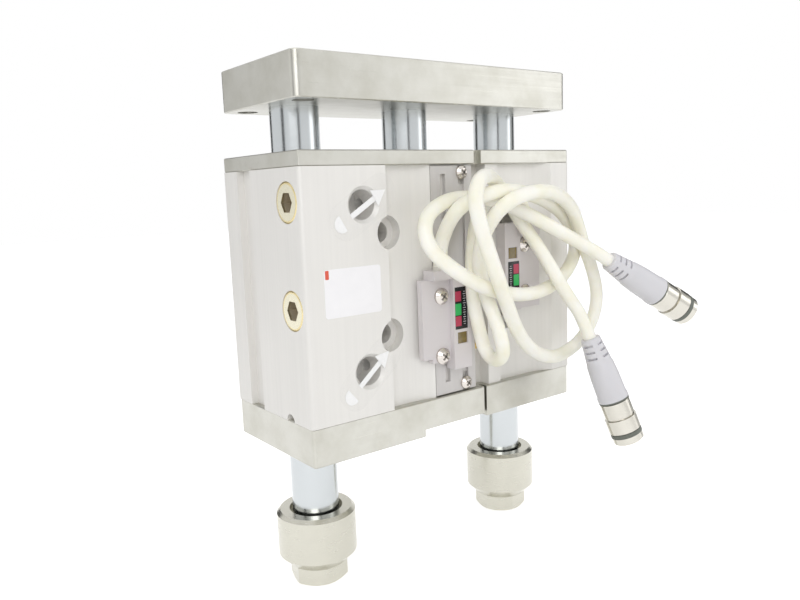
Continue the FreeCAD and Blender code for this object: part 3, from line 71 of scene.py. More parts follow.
# The routes of the two switch leads, in millimetres, from each switch to its connector.
LEAD_ROUTES = {
    "left": [
        (-9.4, -33.4, 10.0), (-10.2, -35.5, 16.2), (-11.2, -41.0, 23.3), (-12.0, -47.5, 29.0),
        (-9.5, -52.5, 32.8), (-2.2, -54.0, 34.8), (7.3, -54.0, 35.9), (18.7, -52.5, 35.2),
        (30.6, -50.5, 32.9), (42.8, -47.5, 29.5), (54.9, -44.0, 24.5), (65.3, -40.5, 17.9),
        (70.6, -38.8, 10.5), (69.5, -38.8, 2.9), (61.0, -41.0, -3.7), (47.1, -44.0, -8.6),
        (30.6, -47.0, -9.8), (13.4, -50.5, -7.5), (-3.4, -54.8, -2.9), (-14.2, -54.3, 2.6),
        (-21.4, -51.5, 8.2), (-26.4, -47.5, 14.6), (-26.9, -44.5, 21.9), (-22.9, -43.0, 28.3),
        (-14.4, -42.0, 32.3), (-4.8, -41.5, 33.7), (4.8, -42.0, 33.1), (12.0, -44.0, 32.0),
        (17.7, -46.5, 29.7), (25.9, -49.0, 25.9), (38.4, -51.3, 19.7), (52.1, -52.6, 13.2),
        (63.1, -54.0, 7.9), (72.0, -57.0, 2.0)],
    "right": [
        (41.4, -33.4, 25.3), (38.9, -34.2, 29.5), (32.8, -34.9, 32.6), (24.6, -35.0, 33.6),
        (15.6, -35.5, 31.5), (9.7, -36.5, 25.8), (5.8, -38.0, 17.6), (3.0, -39.4, 8.2),
        (2.6, -39.6, -1.1), (3.0, -39.8, -10.9), (4.6, -40.0, -18.4), (7.0, -39.4, -25.1),
        (9.2, -39.4, -32.5), (8.7, -46.2, -36.4), (7.4, -53.0, -32.5), (5.8, -53.1, -24.4),
        (5.4, -50.0, -16.6), (4.6, -46.4, -8.8), (1.2, -46.3, 1.7), (0.1, -46.8, 9.7),
        (1.0, -48.5, 17.8), (2.3, -52.5, 24.7), (3.9, -57.2, 29.8), (8.8, -60.2, 33.2),
        (18.3, -60.0, 35.0), (29.7, -58.5, 34.9), (42.6, -55.0, 32.0), (54.0, -51.0, 25.9),
        (62.1, -47.5, 18.2), (68.9, -45.2, 8.5), (75.9, -44.3, -2.6), (80.6, -43.6, -13.8),
        (80.1, -43.4, -22.5), (76.9, -43.0, -29.5), (70.9, -43.0, -35.5), (62.2, -43.5, -39.4),
        (49.8, -45.0, -41.5), (36.2, -47.5, -38.1), (23.4, -51.0, -31.2), (13.7, -54.0, -21.9),
        (4.8, -58.2, -11.0), (-2.9, -61.6, -0.4), (-8.0, -61.8, 10.7), (-12.2, -61.8, 21.0),
        (-14.3, -61.8, 27.5), (-15.5, -61.7, 34.1), (-12.2, -60.2, 39.7), (-5.4, -56.6, 42.0),
        (3.0, -50.8, 41.7), (9.6, -46.3, 40.2), (14.9, -43.6, 38.1), (19.4, -42.0, 35.5),
        (24.9, -40.7, 30.3), (30.3, -41.3, 22.2), (36.9, -44.5, 12.2), (40.3, -50.6, 0.7),
        (50.0, -52.0, -13.2), (58.0, -52.1, -21.5), (61.0, -55.0, -32.8)],
}
# Where each lead leaves its switch, in millimetres.
LEAD_EXITS = {"left": (-9.4, -33.4, 5.5), "right": (41.4, -33.4, 20.8)}

# The sleeve of a connector, in millimetres from the end of its lead: (radius, height) points of
# its outline up to the foot of the slotted neck and on from the neck's head, then the slots.
SLEEVE_START = [(0, 0), (4.2, 0), (4.5, 0.4)]
SLEEVE_REST = [
    (5.9, 12.5), (6.15, 12.9), (6.6, 19.2), (6.8, 28.0), (7.1, 28.8), (7.1, 30.45),
    (6.2, 30.45), (6.2, 31.0), (4.95, 31.0), (4.95, 35.8), (5.85, 35.8), (5.85, 37.4), (0, 37.4)]
SLOT_LOWS = (2.4, 5.4, 8.4)
SLOT_HEIGHT = 1.0
SLOT_FLOOR = 0.76  # the slots' floor, as a share of the neck's radius
SPINE_DEGREES = 30  # the solid spine between two of the four columns of slots
# The rings of a connector: low and high edge, then inner and outer radius.
SEAM_RING = (30.45, 31.1, 6.2, 7.05)
# The ring at the nut's end is painted shade, grey where the nut's open end falls dark.
NUT_SHADE_RING = (46.45, 48.3, 6.7, 7.25)

# Pan heads: place along X, top of the head along Y, heights of the screws, and cross size.
PAN_HEADS = {
    "rail": (6.3, -32.3, (-47.9, 44.1), 3.0),
    "switch_left": (-9.4, -35.5, (-32.9, -7.2), 3.6),
    "switch_right": (41.4, -35.5, (-11.0, 10.9), 3.6),
}
CROSS_ARM = 0.75  # the width of a cross's arm
CROSS_TURNS = (40, 130)  # the turn of each arm, in degrees

# The coloured fields of a display: their top and bottom edges below the top of the display.
DISPLAY_FIELDS = {"upper_red": (1.8, 6.1), "green": (7.1, 12.1), "lower_red": (12.5, 16.8)}
FIELD_WIDTH = 3.3
TICK_COUNT = 15
TICK_LENGTHS = (0.9, 1.5)  # even and odd ticks

# The label and its mark in the plane of the front face, in millimetres along X and Z.
LABEL_PLACE = (-52.45, -0.35)
LABEL_THICKNESS = 0.12
LABEL_MARK_PLACE = (-64.2, 7.0)
# Each front port's place in that plane, and the slant of its marks in degrees.
PORT_MARKS = {"upper": ((-46.0, 32.6), 31), "lower": ((-46.0, -33.3), 40)}
# What is printed on each film, in millimetres from the film's middle.
HALF_MOON_RADIUS = 3.4
HALF_MOON_PLACE = -12.0
ARROW_SHAFT = (13, 2.2)
ARROW_HEAD_RADIUS = 4.2
ARROW_HEAD_PLACE = 8
FILM_THICKNESS = 0.05
INK_THICKNESS = 0.04

# The brass plugs: their place along Y, the height half way between them, and each one's
# distance from it; the radii between which the rim starts; the depths where the socket does.
PLUG_ACROSS = -22
PLUG_MIDDLE = 14
PLUG_SPREAD = 20.5
PLUG_RIM = (6.6, 7.1)
PLUG_SOCKET = (-73.6, -72.6)

# Cards seen only in reflections, in metres: degrees round from the camera, width and tone.
CARD_HEIGHT = 1.2
CARD_DISTANCE = 0.6
CARDS = {
    "camera side card": (21, 0.09, "#3A3A3A"),
    "near left card": (-48, 0.12, "#3A3A3A"),
    "far right card": (128, 0.24, "#3A3A3A"),
    "far left card": (-128, 0.24, "#3A3A3A"),
    "soft right card": (110, 0.22, "#CFCFCD"),
}
FLOOR_GLOW = 0.55  # what the floor adds to its own shade where the camera sees it


def linear(code):
    """An sRGB hex colour as the linear colour that shaders take."""
    channels = [int(code[i:i + 2], 16) / 255 for i in (1, 3, 5)]
    return [c / 12.92 if c <= 0.04045 else ((c + 0.055) / 1.055) ** 2.4 for c in channels] + [1.0]


def shaded(colour, red, green, blue):
    """A darker colour: those shares of another's red, green and blue."""
    return [colour[0] * red, colour[1] * green, colour[2] * blue, 1]


def per_mm(size):
    """The scale of a pattern whose features are that many millimetres across."""
    return 1 / (size * MM)


# ---------------------------------------------------------------- sizes and colours
class StudioSizes(bpy.types.PropertyGroup):
    """Where the camera stands, and how strong the lamps are."""

    camera_place: FloatVectorProperty(
        name="Camera place", description="Where the camera stands",
        default=(-0.2099, -0.2691, 0.0383), subtype="TRANSLATION", unit="LENGTH")
    camera_aim: FloatVectorProperty(
        name="Camera aim", description="The direction in which the camera looks",
        default=(0.5974, 0.7881, -0.1486), subtype="DIRECTION")
    camera_right: FloatVectorProperty(
        name="Camera right", description="The direction of the camera's right-hand side",
        default=(0.7931, -0.6080, -0.0366), subtype="DIRECTION")
    lens: FloatProperty(
        name="Lens", description="Focal length on a 36 mm sensor", default=33.43, min=10, max=200)
    key_power: FloatProperty(
        name="Key lamp", description="Power of the large lamp in front", default=7.5, min=0,
        unit="POWER")
    fill_power: FloatProperty(
        name="Fill lamp", description="Power of the lamp that lifts the shadows", default=2.0,
        min=0, unit="POWER")
    ambient: FloatProperty(
        name="Ambient", description="Strength of the even light from all round", default=0.66,
        min=0, max=2)


class FinishColours(bpy.types.PropertyGroup):
    """The colours of the cylinder's finishes."""

    anodised: FloatVectorProperty(
        name="Anodised body", description="Clear anodised aluminium of the body",
        default=linear("#ECEAE6"), size=4, subtype="COLOR", min=0, max=1)
    nickel: FloatVectorProperty(
        name="Nickel plates", description="Nickel plated steel of the plates",
        default=linear("#C9C8C1"), size=4, subtype="COLOR", min=0, max=1)
    chrome: FloatVectorProperty(
        name="Chromed rods", description="Hard chrome of the rods",
        default=linear("#C4C8CA"), size=4, subtype="COLOR", min=0, max=1)
    brass: FloatVectorProperty(
        name="Brass", description="Brass of the plugs and the channel screw",
        default=linear("#DCCD9E"), size=4, subtype="COLOR", min=0, max=1)
    resin: FloatVectorProperty(
        name="Switch resin", description="Moulded resin of the switches",
        default=linear("#DCD7D8"), size=4, subtype="COLOR", min=0, max=1)
    sheath: FloatVectorProperty(
        name="Lead sheath", description="Vinyl sheath of the leads",
        default=linear("#FFFDF2"), size=4, subtype="COLOR", min=0, max=1)
    connector: FloatVectorProperty(
        name="Connector resin", description="Moulded resin of the connectors",
        default=linear("#DCDBDF"), size=4, subtype="COLOR", min=0, max=1)


class MarkSizes(bpy.types.PropertyGroup):
    """Sizes of the leads, the blank label and the films over the ports."""

    lead_thickness: FloatProperty(
        name="Lead thickness", description="Diameter of each switch lead", default=0.006,
        min=0.002, max=0.012, unit="LENGTH")
    label_width: FloatProperty(
        name="Label width", description="Width of the blank label", default=0.0261,
        min=0.005, max=0.06, unit="LENGTH")
    label_height: FloatProperty(
        name="Label height", description="Height of the blank label", default=0.0187,
        min=0.005, max=0.06, unit="LENGTH")
    film_length: FloatProperty(
        name="Film length", description="Length of the clear film over each port", default=0.034,
        min=0.01, max=0.06, unit="LENGTH")
    film_width: FloatProperty(
        name="Film width", description="Width of the clear film over each port", default=0.0155,
        min=0.005, max=0.03, unit="LENGTH")


# ---------------------------------------------------------------- materials
def add(tree, kind, feeds=None, **settings):
    """Adds one node: settings are its properties, feeds are values or sockets for its inputs."""
    node = tree.nodes.new("ShaderNode" + kind)
    for name, setting in settings.items():
        setattr(node, name, setting)
    for name, value in (feeds or {}).items():
        if isinstance(value, bpy.types.NodeSocket):
            tree.links.new(value, node.inputs[name])
        else:
            node.inputs[name].default_value = value
    return node


def start_material(name):
    """A new material: the material, its tree, its shader and the object coordinates."""
    material = bpy.data.materials.new(name)
    material.use_nodes = True
    tree = material.node_tree
    tree.nodes.clear()
    shader = add(tree, "BsdfPrincipled")
    add(tree, "OutputMaterial", {"Surface": shader.outputs["BSDF"]})
    place = add(tree, "TexCoord")
    return material, tree, shader, place.outputs["Object"]


def feed(tree, shader, **feeds):
    """Sets or links the shader's inputs, whose names are written with underscores."""
    for name, value in feeds.items():
        socket = shader.inputs[name.replace("_", " ")]
        if isinstance(value, bpy.types.NodeSocket):
            tree.links.new(value, socket)
        else:
            socket.default_value = value


def plain_sight(tree):
    """One for what the camera, metal and glass see, and nought for all other light."""
    sight = add(tree, "LightPath").outputs
    seen = add(tree, "Math", {0: sight["Is Camera Ray"], 1: sight["Is Glossy Ray"]},
               operation="MAXIMUM")
    seen = add(tree, "Math", {0: seen.outputs["Value"], 1: sight["Is Transmission Ray"]},
               operation="MAXIMUM")
    return seen.outputs["Value"]


def anodised_aluminium(colour, name="anodised extruded aluminium"):
    """Extruded, blasted and clear anodised: a pale satin grey with faint draw lines along it."""
    material, tree, shader, place = start_material(name)
    # The die leaves draw lines along the length, which give flat faces a soft upright streak.
    stretch = add(tree, "Mapping", {
        "Vector": place, "Scale": (per_mm(1.6), per_mm(1.6), per_mm(90))})
    lines = add(tree, "TexNoise", {"Vector": stretch.outputs["Vector"], "Scale": 1, "Detail": 3})
    # Blasting grit is 0.1 mm and is drawn at 0.5 mm, so that the satin shows in the render.
    grit = add(tree, "TexNoise", {"Vector": place, "Scale": per_mm(0.5), "Detail": 4})
    # The oxide's thickness drifts over the face, which shows as slow patches of shade.
    drift = add(tree, "TexNoise", {"Vector": place, "Scale": per_mm(38), "Detail": 2})
    darker = shaded(colour, 0.93, 0.93, 0.93)
    shade = add(tree, "MixRGB", {"Fac": drift.outputs["Fac"], "Color1": colour, "Color2": darker})
    streak = add(tree, "MapRange", {
        "Value": lines.outputs["Fac"], "From Min": 0.3, "From Max": 0.7, "To Min": 0.965,
        "To Max": 1.0})
    drawn = add(tree, "VectorMath", {0: shade.outputs["Color"]}, operation="SCALE")
    tree.links.new(streak.outputs["Result"], drawn.inputs["Scale"])
    satin = add(tree, "MapRange", {
        "Value": grit.outputs["Fac"], "From Min": 0.3, "From Max": 0.7, "To Min": 0.36,
        "To Max": 0.50})
    bump = add(tree, "Bump", {
        "Height": grit.outputs["Fac"], "Distance": 0.00002, "Strength": 0.35})
    feed(tree, shader, Base_Color=drawn.outputs["Vector"], Metallic=0.15,
         Roughness=satin.outputs["Result"], Normal=bump.outputs["Normal"])
    return material


def ground_nickel(colour, grain, name="ground nickel plated steel"):
    """Ground, then nickel plated: a warm grey with fine lines along grain, a length per axis."""
    material, tree, shader, place = start_material(name)
    # The wheel leaves lines 0.1 mm apart, drawn at 0.35 mm, which stretch the highlights.
    stretch = add(tree, "Mapping", {"Vector": place, "Scale": [per_mm(size) for size in grain]})
    lines = add(tree, "TexNoise", {
        "Vector": stretch.outputs["Vector"], "Scale": 1, "Detail": 5, "Roughness": 0.65})
    # Handling and plating leave cloudy patches about a centimetre wide.
    cloud = add(tree, "TexNoise", {"Vector": place, "Scale": per_mm(13), "Detail": 6,
                                   "Roughness": 0.6})
    darker = shaded(colour, 0.87, 0.865, 0.84)
    cloudy = add(tree, "MapRange", {
        "Value": cloud.outputs["Fac"], "From Min": 0.38, "From Max": 0.68})
    shade = add(tree, "MixRGB", {
        "Fac": cloudy.outputs["Result"], "Color1": colour, "Color2": darker})
    rough = add(tree, "MapRange", {
        "Value": lines.outputs["Fac"], "From Min": 0.3, "From Max": 0.7, "To Min": 0.27,
        "To Max": 0.43})
    bump = add(tree, "Bump", {
        "Height": lines.outputs["Fac"], "Distance": 0.00003, "Strength": 0.45})
    feed(tree, shader, Base_Color=shade.outputs["Color"], Metallic=1.0,
         Roughness=rough.outputs["Result"], Normal=bump.outputs["Normal"])
    return material


def hard_chrome(colour):
    """Ground and hard chromed: bright, soft-edged reflections and the faintest rings."""
    material, tree, shader, place = start_material("ground hard chrome")
    # Grinding between centres leaves rings round the rod, 0.2 mm apart, drawn at 0.5 mm.
    stretch = add(tree, "Mapping", {
        "Vector": place, "Scale": (per_mm(60), per_mm(60), per_mm(0.5))})
    rings = add(tree, "TexNoise", {"Vector": stretch.outputs["Vector"], "Scale": 1, "Detail": 2})
    rough = add(tree, "MapRange", {
        "Value": rings.outputs["Fac"], "From Min": 0.3, "From Max": 0.7, "To Min": 0.17,
        "To Max": 0.23})
    bump = add(tree, "Bump", {
        "Height": rings.outputs["Fac"], "Distance": 0.000004, "Strength": 0.25})
    feed(tree, shader, Base_Color=colour, Metallic=1.0, Roughness=rough.outputs["Result"],
         Normal=bump.outputs["Normal"])
    return material


def turned_metal(name, colour, ring, low, high):
    """Turned metal: ring is the feed between tool marks, in mm, low and high its roughness."""
    material, tree, shader, place = start_material(name)
    # The tool's feed marks catch the light as fine rings.
    stretch = add(tree, "Mapping", {
        "Vector": place, "Scale": (per_mm(9), per_mm(9), per_mm(ring))})
    rings = add(tree, "TexNoise", {"Vector": stretch.outputs["Vector"], "Scale": 1, "Detail": 3})
    stain = add(tree, "TexNoise", {"Vector": place, "Scale": per_mm(6), "Detail": 4})
    darker = shaded(colour, 0.93, 0.93, 0.93)
    shade = add(tree, "MixRGB", {"Fac": stain.outputs["Fac"], "Color1": colour, "Color2": darker})
    rough = add(tree, "MapRange", {
        "Value": rings.outputs["Fac"], "From Min": 0.3, "From Max": 0.7, "To Min": low,
        "To Max": high})
    bump = add(tree, "Bump", {
        "Height": rings.outputs["Fac"], "Distance": 0.000004, "Strength": 0.1})
    feed(tree, shader, Base_Color=shade.outputs["Color"], Metallic=1.0,
         Roughness=rough.outputs["Result"], Normal=bump.outputs["Normal"])
    return material


def plug_brass(colour):
    """Turned brass plug: a golden rim, a face painted paler as a reflection, painted shade in its
    socket.
    """
    material, tree, shader, place = start_material("turned brass with painted reflection and shade")
    # The two plugs stand as far above and below one height, so Z is folded there.
    shift = add(tree, "Mapping", {
        "Vector": place, "Location": (0, -PLUG_ACROSS * MM, -PLUG_MIDDLE * MM)})
    fold = add(tree, "VectorMath", {0: shift.outputs["Vector"]}, operation="ABSOLUTE")
    centre = add(tree, "Mapping", {"Vector": fold.outputs["Vector"],
                                   "Location": (0, 0, -PLUG_SPREAD * MM), "Scale": (0, 1, 1)})
    radius = add(tree, "VectorMath", {0: centre.outputs["Vector"]}, operation="LENGTH")
    rim = add(tree, "MapRange", {
        "Value": radius.outputs["Value"], "From Min": PLUG_RIM[0] * MM,
        "From Max": PLUG_RIM[1] * MM})
    # The face is painted a paler yellow than the rim, which keeps its gold: a painted reflection.
    face = add(tree, "MixRGB", {"Fac": rim.outputs["Result"], "Color1": linear("#DDD8C2"),
                                "Color2": colour})
    # The socket is painted a darker grey brown below its edge: painted shade in the recess.
    depth = add(tree, "SeparateXYZ", {"Vector": place})
    socket = add(tree, "MapRange", {
        "Value": depth.outputs["X"], "From Min": PLUG_SOCKET[0] * MM,
        "From Max": PLUG_SOCKET[1] * MM})
    shade = add(tree, "MixRGB", {"Fac": socket.outputs["Result"], "Color1": face.outputs["Color"],
                                 "Color2": linear("#C9C0AE")})
    rough = add(tree, "MapRange", {"Value": socket.outputs["Result"], "To Min": 0.26,
                                   "To Max": 0.6})
    stain = add(tree, "TexNoise", {"Vector": place, "Scale": per_mm(2.5), "Detail": 4})
    bump = add(tree, "Bump", {"Height": stain.outputs["Fac"], "Distance": 0.00005,
                              "Strength": 0.3})
    feed(tree, shader, Base_Color=shade.outputs["Color"], Metallic=1.0,
         Roughness=rough.outputs["Result"], Normal=bump.outputs["Normal"])
    return material


def moulded_resin(name, colour, rough, glow=0.0):
    """Injection moulded resin: an even colour, with the fine spark-eroded grain of the mould."""
    material, tree, shader, place = start_material(name)
    # Spark erosion leaves pits 0.1 mm wide in the mould, drawn at 0.3 mm.
    grain = add(tree, "TexNoise", {"Vector": place, "Scale": per_mm(0.3), "Detail": 3})
    # Slow drifts of shade come from how the melt flowed.
    flow = add(tree, "TexNoise", {"Vector": place, "Scale": per_mm(14), "Detail": 2})
    darker = shaded(colour, 0.93, 0.93, 0.93)
    shade = add(tree, "MixRGB", {"Fac": flow.outputs["Fac"], "Color1": colour, "Color2": darker})
    satin = add(tree, "MapRange", {
        "Value": grain.outputs["Fac"], "From Min": 0.3, "From Max": 0.7,
        "To Min": rough - 0.06, "To Max": rough + 0.06})
    bump = add(tree, "Bump", {
        "Height": grain.outputs["Fac"], "Distance": 0.000015, "Strength": 0.3})
    feed(tree, shader, Base_Color=shade.outputs["Color"], Roughness=satin.outputs["Result"],
         Normal=bump.outputs["Normal"], IOR=1.5)
    if glow:
        feed(tree, shader, Subsurface_Weight=glow, Subsurface_Radius=(0.004, 0.0035, 0.003),
             Subsurface_Scale=0.3)
    return material


def vinyl_sheath(colour):
    """Extruded vinyl: creamy, slightly translucent and softly shiny, a little grubby in places."""
    material, tree, shader, place = start_material("extruded vinyl sheath")
    # Handling leaves faint yellowed patches about a centimetre long.
    grubby = add(tree, "TexNoise", {"Vector": place, "Scale": per_mm(11), "Detail": 4})
    yellowed = add(tree, "MapRange", {
        "Value": grubby.outputs["Fac"], "From Min": 0.4, "From Max": 0.75})
    darker = shaded(colour, 0.93, 0.92, 0.83)
    shade = add(tree, "MixRGB", {
        "Fac": yellowed.outputs["Result"], "Color1": colour, "Color2": darker})
    # The wires under the sheath show as the slightest swelling, 2 mm wide.
    swell = add(tree, "TexNoise", {"Vector": place, "Scale": per_mm(2), "Detail": 2})
    bump = add(tree, "Bump", {
        "Height": swell.outputs["Fac"], "Distance": 0.00006, "Strength": 0.3})
    feed(tree, shader, Base_Color=shade.outputs["Color"], Roughness=0.42, IOR=1.52,
         Normal=bump.outputs["Normal"], Subsurface_Weight=0.25,
         Subsurface_Radius=(0.004, 0.0035, 0.0025), Subsurface_Scale=0.4)
    return material


def black_rubber():
    """Moulded nitrile rubber: matt black with a dusty bloom."""
    material, tree, shader, place = start_material("moulded nitrile rubber")
    bloom = add(tree, "TexNoise", {"Vector": place, "Scale": per_mm(3), "Detail": 4})
    shade = add(tree, "MixRGB", {
        "Fac": bloom.outputs["Fac"], "Color1": linear("#1B1B1C"), "Color2": linear("#2E2E2F")})
    feed(tree, shader, Base_Color=shade.outputs["Color"], Roughness=0.62, IOR=1.52)
    return material


def glossy_black(name, code):
    """Polished black acrylic: deep black with sharp reflections and fine dust."""
    material, tree, shader, place = start_material(name)
    dust = add(tree, "TexNoise", {"Vector": place, "Scale": per_mm(0.7), "Detail": 3})
    rough = add(tree, "MapRange", {
        "Value": dust.outputs["Fac"], "From Min": 0.4, "From Max": 0.7, "To Min": 0.12,
        "To Max": 0.28})
    feed(tree, shader, Base_Color=linear(code), Roughness=rough.outputs["Result"], IOR=1.49)
    return material


def print_ink(name, code, rough=0.5):
    """Screen printed ink: an even colour whose shade wavers a little."""
    material, tree, shader, place = start_material(name)
    mottle = add(tree, "TexNoise", {"Vector": place, "Scale": per_mm(0.6), "Detail": 3})
    colour = linear(code)
    darker = shaded(colour, 0.86, 0.86, 0.86)
    shade = add(tree, "MixRGB", {"Fac": mottle.outputs["Fac"], "Color1": colour,
                                 "Color2": darker})
    feed(tree, shader, Base_Color=shade.outputs["Color"], Roughness=rough, IOR=1.5)
    return material


def amber_lens():
    """Tinted acrylic over a hollow: olive amber, clear enough to look deep."""
    material, tree, shader, place = start_material("tinted acrylic lens")
    depth = add(tree, "TexNoise", {"Vector": place, "Scale": per_mm(2.2), "Detail": 1})
    shade = add(tree, "MixRGB", {
        "Fac": depth.outputs["Fac"], "Color1": linear("#8E7B3E"), "Color2": linear("#5A4C26")})
    feed(tree, shader, Base_Color=shade.outputs["Color"], Roughness=0.15, IOR=1.49,
         Coat_Weight=0.6, Coat_Roughness=0.05)
    return material


def clear_film():
    """Polyester film with a faint milky glue: lets nearly all that is under it show."""
    material, tree, shader, place = start_material("clear polyester film")
    ripple = add(tree, "TexNoise", {"Vector": place, "Scale": per_mm(7), "Detail": 2})
    bump = add(tree, "Bump", {
        "Height": ripple.outputs["Fac"], "Distance": 0.00008, "Strength": 0.5})
    feed(tree, shader, Base_Color=linear("#F4F4F2"), Roughness=0.22, IOR=1.45, Alpha=0.02,
         Normal=bump.outputs["Normal"])
    return material


def label_vinyl():
    """Printed label stock: bright white vinyl with a soft gloss."""
    material, tree, shader, place = start_material("white label vinyl")
    ripple = add(tree, "TexNoise", {"Vector": place, "Scale": per_mm(5), "Detail": 2})
    shade = add(tree, "MixRGB", {
        "Fac": ripple.outputs["Fac"], "Color1": linear("#FBFAFC"), "Color2": linear("#F4F3F5")})
    bump = add(tree, "Bump", {
        "Height": ripple.outputs["Fac"], "Distance": 0.00004, "Strength": 0.3})
    feed(tree, shader, Base_Color=shade.outputs["Color"], Roughness=0.35, IOR=1.5,
         Normal=bump.outputs["Normal"])
    return material


# ---------------------------------------------------------------- pieces
def finish_nodes(names, material):
    """Gives CAD nodes a material through their objects' own slots."""
    for name in names:
        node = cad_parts[name]
        if not node.material_slots:
            raise RuntimeError(name + " has no material slot")
        for place in node.material_slots:
            place.material = material


def link_mesh(name, bm, material):
    """An object made of that bmesh, with its place in its mesh, in the scene."""
    mesh = bpy.data.meshes.new(name)
    bm.to_mesh(mesh)
    bm.free()
    mesh.materials.append(material)
    made = bpy.data.objects.new(name, mesh)
    bpy.context.scene.collection.objects.link(made)
    return made


def new_piece(name, bm, material, body, smooth=False):
    """A piece made of that bmesh, riding on a body."""
    bmesh.ops.recalc_face_normals(bm, faces=bm.faces)
    for face in bm.faces:
        face.smooth = smooth
    piece = link_mesh(name, bm, material)
    if smooth:
        piece.data.set_sharp_from_angle(angle=math.radians(30))
    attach(piece, body)
    return piece


def thicken(bm, face, height):
    """Extrudes one face along -Y, towards the front, by that height."""
    made = bmesh.ops.extrude_face_region(bm, geom=[face])
    raised = [g for g in made["geom"] if isinstance(g, bmesh.types.BMVert)]
    bmesh.ops.translate(bm, verts=raised, vec=(0, -height, 0))


def patch(bm, width, height, thickness, corner, segments=5):
    """A flat rounded patch in the XZ plane about the origin, raised towards the front."""
    made = bmesh.ops.create_grid(bm, x_segments=1, y_segments=1, size=0.5)
    bmesh.ops.scale(bm, verts=made["verts"], vec=(width, height, 1))
    bmesh.ops.rotate(bm, verts=made["verts"], matrix=Matrix.Rotation(math.pi / 2, 3, "X"))
    bmesh.ops.bevel(
        bm, geom=made["verts"], offset=corner, affect="VERTICES", segments=segments,
        profile=0.5, material=-1)
    bm.faces.ensure_lookup_table()
    thicken(bm, bm.faces[0], thickness)


def spun(bm, outline, closed=False):
    """Turns an outline of (radius, height) points, in millimetres, round the Z axis."""
    corners = [bm.verts.new((radius * MM, 0, height * MM)) for radius, height in outline]
    ends = corners[1:] + corners[:1] if closed else corners[1:]
    edges = [bm.edges.new(pair) for pair in zip(corners, ends)]
    bmesh.ops.spin(
        bm, geom=corners + edges, cent=(0, 0, 0), axis=(0, 0, 1), dvec=(0, 0, 0),
        angle=2 * math.pi, steps=48, use_merge=True, use_duplicate=False)
    bmesh.ops.remove_doubles(bm, verts=bm.verts, dist=0.001 * MM)


def join(bm, part):
    """Puts one bmesh into another."""
    mesh = bpy.data.meshes.new("part")
    part.to_mesh(mesh)
    part.free()
    bm.from_mesh(mesh)
    bpy.data.meshes.remove(mesh)


def lead_curve(name, route, thickness, material):
    """A lead: one smooth spline whose control points are the route's points."""
    curve = bpy.data.curves.new(name, "CURVE")
    curve.dimensions = "3D"
    spline = curve.splines.new("NURBS")
    spline.points.add(len(route) - 1)
    for point, place in zip(spline.points, route):
        point.co = (place[0] * MM, place[1] * MM, place[2] * MM, 1)
    spline.order_u = 3
    spline.use_endpoint_u = True
    curve.resolution_u = 8
    curve.bevel_depth = thickness / 2
    curve.bevel_resolution = 6
    curve.use_fill_caps = True
    curve.materials.append(material)
    lead = bpy.data.objects.new(name, curve)
    bpy.context.scene.collection.objects.link(lead)
    return lead


def connector_seat(side):
    """The end of a lead, with Z along its connector and X towards the front and left."""
    before, end = (Vector(point) * MM for point in LEAD_ROUTES[side][-2:])
    along = (end - before).normalized()
    front = Vector((-0.60, -0.79, 0.15))
    across = (front - along * front.dot(along)).normalized()
    turn = Matrix((across, along.cross(across), along)).transposed()
    return Matrix.Translation(end) @ turn.to_4x4()


def relief_sleeve(side, resin):
    """The overmoulded sleeve: three rows of relief slots in four columns round its neck."""
    slots = [(low, low + SLOT_HEIGHT) for low in SLOT_LOWS]
    # The neck is a cone from the last point of the start to the first of the rest.
    (thin, foot), (thick, head) = SLEEVE_START[-1], SLEEVE_REST[0]
    cone = [(thin + (height - foot) * (thick - thin) / (head - foot), height)
            for slot in slots for height in slot]
    bm = bmesh.new()
    spun(bm, SLEEVE_START + cone + SLEEVE_REST)
    cut = []
    for face in bm.faces:
        middle = face.calc_center_median()
        turn = math.degrees(math.atan2(middle.y, middle.x))
        if (turn + SPINE_DEGREES / 2) % 90 > SPINE_DEGREES and any(
                low * MM < middle.z < high * MM for low, high in slots):
            cut.append(face)
    made = bmesh.ops.extrude_face_region(bm, geom=cut)
    bmesh.ops.delete(bm, geom=cut, context="FACES_ONLY")
    floor = [part for part in made["geom"] if isinstance(part, bmesh.types.BMVert)]
    bmesh.ops.scale(bm, verts=floor, vec=(SLOT_FLOOR, SLOT_FLOOR, 1))
    bmesh.ops.transform(bm, verts=bm.verts, matrix=connector_seat(side))
    sleeve = new_piece("connector_sleeve_" + side, bm, resin, "cylinder", smooth=True)
    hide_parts("connector_%s_shell" % side)
    return sleeve


